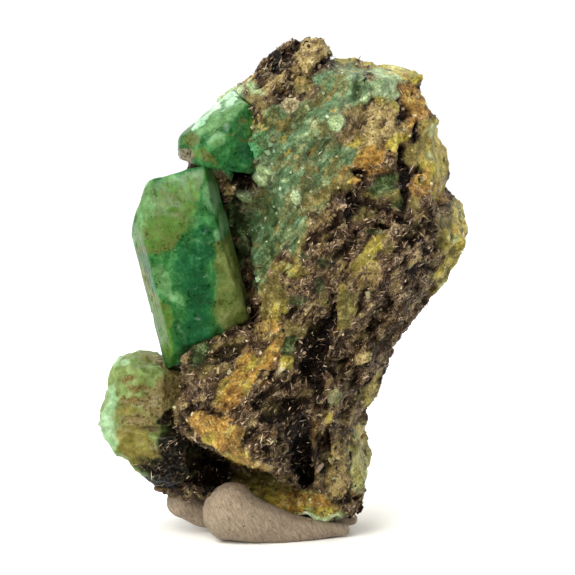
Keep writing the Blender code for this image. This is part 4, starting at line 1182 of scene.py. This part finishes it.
# Finishes of the rock's minerals: pattern, ramp, roughness, subsurface, specks of silt, bump.
ROCK_RECIPES = {
    # frosted beryl, grey-green, streaked with olive silt along the layers
    "teal": ("silt", "#2f3c1c #3a4c2c #465f3d #577350 #78906f", 0.44, 0.22, 0.4, 0.22),
    # the same beryl darker: dark veins in it, and painted shade where its hollows lie
    "dark_teal_and_shade": ("mottle", "#151d0b #242f12 #33401f #4f5f36 #78855c", 0.34, 0.10, 0.5, 0.6),
    # clear pale beryl, nearly white where it is thin; by the upper emerald's rim, a painted highlight
    "pale": ("mottle", "#5f7045 #7c8d5e #93a474 #aabb8e #cfdab8", 0.34, 0.40, 0.2, 0.25),
    # bright emerald showing through the skin
    "vivid": ("mottle", "#26491f #2f6430 #387a42 #438b55 #5aa36c", 0.28, 0.35, 0.2, 0.2),
    # yellow-green beryl, stained, and on the thin right rim a painted glow
    "lime": ("mottle", "#61551a #7a6e25 #90832f #a69840 #c5b76c", 0.42, 0.40, 0.2, 0.3),
    # beryl brown with silt
    "olive": ("mottle", "#3a300f #4d431a #5e5428 #726635 #8d7f4c", 0.44, 0.20, 0.25, 0.35),
    # iron-stained feldspar, waxy yellow-orange
    "ochre": ("mottle", "#543910 #72521f #8b692b #a07d38 #bf9d58", 0.46, 0.30, 0.15, 0.28),
    # limonite, dull orange-brown
    "rust": ("mottle", "#33200c #523717 #704f22 #8c6a31 #ad8a4c", 0.65, 0.0, 0.5, 0.7),
    # crumbly weathered schist, beige
    "tan": ("mottle", "#5b4a26 #7a683a #94804f #a99661 #c3b180", 0.58, 0.15, 0.45, 0.6),
    # quartz and cloudy beryl grains, grey with a little pink
    "grey": ("mottle", "#5a5132 #7b7150 #978c69 #b0a584 #ccc4a8", 0.34, 0.30, 0.4, 0.4),
    # fresh biotite, black and shiny, and painted shade in cracks, cavities and under the overhangs
    "black": ("lace", "#030000 #070301 #0e0906 #1f1811 #45392c", 0.26, 0.0, 0.0, 0.9),
    # mica schist: black-brown laced with the tan edges of curled mica
    "schist": ("lace", "#170b04 #342213 #5e4830 #927958 #cdb48b", 0.46, 0.0, 0.5, 1.0),
}


def rock_material():
    """Broken mica schist with beryl and feldspar: each mineral's own ramp over a pattern of its
    size, mixed by the shares on the mesh, with a fine bump that follows the layers."""
    made, tree = start_material("broken_mica_schist")
    patterns = rock_patterns(tree)
    recipes = [ROCK_RECIPES[name] for name in MINERALS]
    colour, shares = weighted_sum(tree, "minerals", [recipe[:2] for recipe in recipes], patterns)
    roughness, milkiness, silting, relief = (
        by_share(tree, shares, [recipe[k] for recipe in recipes]) for k in range(2, 6))
    dirty = maths(tree, "MULTIPLY", mapped(tree, patterns["grain"], 0.42, 0.36, 0.0, 1.0), silting)
    uneven = maths(tree, "MULTIPLY_ADD", patterns["grain"], 0.3, -0.15)
    raised = maths(tree, "MULTIPLY_ADD", patterns["lace"], 0.6, patterns["grain"])
    raised = maths(tree, "MULTIPLY_ADD", patterns["mottle"], 0.8, raised)
    return end_material(made, {
        "Base Color": mixed_colour(tree, dirty, colour, linear("#241505")),
        "Roughness": maths(tree, "ADD", roughness, uneven),
        "Normal": bumped(tree, raised, relief, 0.15),
        "Subsurface Weight": milkiness, "Subsurface Radius": (0.6, 1.0, 0.6), "Subsurface Scale": 0.9 * MM,
        "IOR": 1.5, "Specular IOR Level": 0.3,
    })


def cloudy_crystal(name, lean, recipes, stains, clear, absorbing, density, roughness, specks):
    """A cloudy crystal: partly see-through with a tinted body, its natural faces satin from
    etching, and silt and rust in specks on the skin."""
    made, tree = start_material(name)
    place = object_place(tree)
    silt = cloudy(tree, place, 1 / (0.24 * MM), 4.0, 0.65)
    cloud = mixed(tree, 0.35, cloudy(tree, place, 1 / (1.1 * MM), 8.0, 0.72), silt)
    lines = cloudy(tree, stretched(tree, place, -lean, (0.5, 0.5, 3.0)), 1.0, 4.0)
    colour, shares = weighted_sum(tree, "tints", recipes, {"cloud": cloud, "silt": silt})
    start, stain = specks
    speck = ramp(tree, silt, ((start, "#000000"), (start + 0.05, "#ffffff")))
    dirty = maths(tree, "MULTIPLY", speck, by_share(tree, shares, stains))
    height = maths(tree, "MULTIPLY_ADD", silt, 0.45, lines)
    inside = node(tree, "ShaderNodeVolumeAbsorption", {"Color": linear(absorbing), "Density": density})
    return end_material(made, {
        "Base Color": mixed_colour(tree, dirty, colour, linear(stain)),
        "Roughness": maths(tree, "MULTIPLY_ADD", cloud, 0.35, roughness - 0.17),
        "Normal": bumped(tree, height, 0.35, 0.08),
        "Transmission Weight": clear, "IOR": 1.58, "Specular IOR Level": 0.1,
        "Subsurface Weight": 0.6, "Subsurface Radius": (0.45, 1.0, 0.7), "Subsurface Scale": 1.6 * MM,
    }, inside)


def emerald_material(name):
    """Natural emerald, beryl coloured by chromium: deep blue-green at the core and mint where it
    is thin or bruised, olive where iron has got in. The mint at thin edges is partly a painted
    glow, and the near white on rims a painted highlight."""
    recipes = (
        ("cloud", "#164818 #1d5420 #27642b #36783a #4f9152"),
        ("cloud", "#0a3c1b #0d4520 #115026 #195d2f #296f3d"),
        ("cloud", "#3a5c18 #44691f #4e7729 #5a8635 #73994a"),
        ("cloud", "#4a6f38 #578047 #649158 #74a36a #94bd8b"),
        ("cloud", "#42531a #54652a #687835 #7e884a #a2aa6c"),
        ("silt", "#44350d #56501b #57682a #58783a #6b8f4c"),
        ("cloud", "#3c6a3e #4c7a4d #5d8a5c #719c6e #94b88e"),
        # near white: painted highlight on rims facing the light, and pale frosted spots
        ("cloud", "#74a37c #8cb98f #a6cca4 #c4dfbf #e6f4e0"),
        ("silt", "#33291a #544a32 #756b50 #958d72 #bdb8a0"),
    )
    stains = (0.12, 0.06, 0.6, 0.4, 0.5, 0.7, 0.15, 0.1, 0.6)
    return cloudy_crystal(
        name, PRISM_LEAN, recipes, stains, 0.3, "#35cf74", 750.0, 0.30, (0.54, "#5e3f0e"))


def beryl_material():
    """Pale beryl, milky with fluid inclusions: mint at the rims, yellow-green and brown with
    iron and silt towards the rock. The mint at the thin rims is a painted glow, and the near
    black at the foot is black mica and painted shade."""
    recipes = (
        ("cloud", "#5a6630 #68773c #758648 #839657 #9baa75"),
        ("cloud", "#7a9a66 #86a574 #92b081 #9fbd90 #b8d0ab"),
        ("cloud", "#5c5419 #6c6424 #7c7330 #8c8441 #a29c5c"),
        ("silt", "#4a3f1c #62552b #7b6d40 #938457 #b0a179"),
        ("silt", "#3c2a0a #57451a #6e5e2b #84763f #a29a64"),
        # black mica, and painted shade on the underside
        ("silt", "#010000 #060302 #0e0a06 #1f1910 #433a29"),
    )
    stains = (0.4, 0.1, 0.5, 0.8, 1.0, 0.0)
    return cloudy_crystal(
        "milky_beryl", 0.0, recipes, stains, 0.25, "#b6d67f", 320.0, 0.36, (0.555, "#4f3413"))


def mica_material():
    """Biotite cleavage: pearly, black-brown fresh and bronze to straw where it has weathered."""
    made, tree = start_material("weathered_biotite")
    tone = node(tree, "ShaderNodeAttribute", attribute_name="tone").outputs["Fac"]
    grain = cloudy(tree, object_place(tree), 1 / (0.2 * MM), 3.0)
    level = maths(tree, "ADD", tone, maths(tree, "MULTIPLY_ADD", grain, 0.4, -0.2))
    return end_material(made, {
        "Base Color": ramp(tree, level, (
            (0.05, "#0a0705"), (0.32, "#201611"), (0.52, "#493828"), (0.72, "#856d54"), (0.95, "#cfb797"))),
        "Roughness": 0.34, "IOR": 1.58,
    })


def crumb_material():
    """Broken grains: glassy green, yellow or brownish, by what they grew in."""
    made, tree = start_material("broken_grains")
    green, yellow, tone = (
        node(tree, "ShaderNodeAttribute", attribute_name=name).outputs["Fac"]
        for name in ("green", "yellow", "tone"))
    brown_ramp, yellow_ramp, green_ramp = (
        ramp(tree, tone, list(zip((0.0, 0.4, 0.8, 1.0), colours.split()))) for colours in (
            "#352816 #64512f #937c52 #bfad86", "#58501f #7f7437 #a39657 #c9bf8a",
            "#3b5136 #5c7853 #86a07a #b4c6a4"))
    colour = mixed_colour(tree, green, mixed_colour(tree, yellow, brown_ramp, yellow_ramp), green_ramp)
    return end_material(made, {
        "Base Color": colour, "Roughness": 0.35, "IOR": 1.56,
        "Subsurface Weight": 0.35, "Subsurface Radius": (0.7, 1.0, 0.6), "Subsurface Scale": 0.4 * MM,
    })


def putty_material():
    """Grey oil putty: matt, drawn into fine lines by fingers, with dark specks of dust in it."""
    made, tree = start_material("display_putty")
    place = object_place(tree)
    lines = cloudy(tree, stretched(tree, place, 62, (0.7, 0.6, 0.16)), 1.0, 5.0, 0.65, 1.2)
    dust = cloudy(tree, place, 1 / (0.22 * MM), 2.0)
    # darker where the finger lines sink and lighter on their ridges, from the same noise as the bump
    colour = ramp(tree, lines, ((0.32, "#6e5f4d"), (0.50, "#887863"), (0.68, "#a1917b")))
    specks = ramp(tree, dust, ((0.27, "#4a4038"), (0.33, "#ffffff")))
    both = node(tree, "ShaderNodeVectorMath", {0: colour, 1: specks}, operation="MULTIPLY")
    return end_material(made, {
        "Base Color": both.outputs[0], "Normal": bumped(tree, lines, 0.6, 0.08),
        "Roughness": 0.75, "IOR": 1.5,
    })


# Floor, light and camera

PAPER_HALF = 300.0
TENT_FRONT, TENT_BACK = 0.08, 1.05
LIT_POINT = (0, 0, 20)
# Soft boxes, all turned to LIT_POINT: place, size, power, whether glossy faces mirror it.
SOFT_BOXES = {
    "key_box": ((-150, -240, 230), 260, 1.9, False),
    "glint_box": ((-180, -160, 260), 50, 0.12, True),
    "top_box": ((60, 40, 300), 160, 0.5, True),
}


def paper_material():
    """Matt white paper with a painted warm tint close to the specimen, for the warm light it throws back."""
    made, tree = start_material("warm_white_paper")
    away = node(tree, "ShaderNodeVectorMath", {0: object_place(tree)}, operation="LENGTH")
    share = maths(tree, "MULTIPLY", away.outputs["Value"], 1 / (60 * MM))
    return end_material(made, {
        "Base Color": ramp(tree, share, ((0.25, "#fffdf6"), (1.0, "#ffffff"))),
        "Roughness": 0.9, "Specular IOR Level": 0.2,
    })


def add_object(name, data, place=(0, 0, 0), target=None):
    """Links a new object, its place in millimetres, with -Z turned to the target if it has one."""
    thing = bpy.data.objects.new(name, data)
    bpy.context.scene.collection.objects.link(thing)
    thing.location = [part * MM for part in place]
    if target:
        way = Vector([part * MM for part in target]) - thing.location
        thing.rotation_euler = way.to_track_quat("-Z", "Y").to_euler()
    return thing


def build_floor():
    corners = np.array([(x, y, 0) for x, y in ((-1, -1), (1, -1), (1, 1), (-1, 1))]) * PAPER_HALF
    mesh = mesh_from("paper_floor", corners, [np.array([[0, 1, 2, 3]])])
    mesh.materials.append(paper_material())
    floor = add_object("paper_floor", mesh)
    floor.visible_glossy = False  # no white veil on the dark faces


def build_lights():
    """A light tent: white behind and overhead, dimmer on the side that the viewer stands on, as
    the open front of a tent is, so that faces turned to it keep their colour."""
    world = bpy.data.worlds.new("light_tent")
    world.use_nodes = True
    tree = world.node_tree
    tree.nodes.clear()
    way = node(tree, "ShaderNodeSeparateXYZ", {0: node(tree, "ShaderNodeTexCoord").outputs["Generated"]})
    depth = mapped(tree, way.outputs["Y"], -0.7, 0.25, TENT_FRONT, TENT_BACK)
    seen_as = node(tree, "ShaderNodeLightPath").outputs["Is Camera Ray"]
    back = node(tree, "ShaderNodeBackground", {
        "Color": linear("#ffffff"), "Strength": mixed(tree, seen_as, depth, TENT_BACK)})
    node(tree, "ShaderNodeOutputWorld", {"Surface": back.outputs[0]})
    bpy.context.scene.world = world
    for name, (place, size, power, mirrored) in SOFT_BOXES.items():
        lamp = bpy.data.lights.new(name, "AREA")
        lamp.size = size * MM
        lamp.energy = power
        add_object(name, lamp, place, LIT_POINT).visible_glossy = mirrored


def build_camera():
    """At the photograph's angle: level with the middle of the rock, tilted 8 degrees down."""
    rise = radians(VIEW_RISE)
    lens = bpy.data.cameras.new("camera")
    lens.sensor_width = 36.0
    lens.lens = lens.sensor_width * VIEW_DISTANCE / PICTURE_WIDTH
    lens.clip_start, lens.clip_end = 0.01, 5.0
    place = (AIM[0], AIM[1] - VIEW_DISTANCE * cos(rise), AIM[2] + VIEW_DISTANCE * sin(rise))
    bpy.context.scene.camera = add_object("camera", lens, place, AIM)


def main():
    rock = build_rock()
    crust = build_crystals()
    micaceous = {key: np.concatenate([rock[key], crust[key]]) for key in rock}
    build_flakes(micaceous)
    build_fibres(micaceous)
    build_crumbs(rock)
    build_putty()
    build_floor()
    build_lights()
    build_camera()
    scene = bpy.context.scene
    scene.view_settings.view_transform = "Standard"
    scene.cycles.use_denoising = True


main()
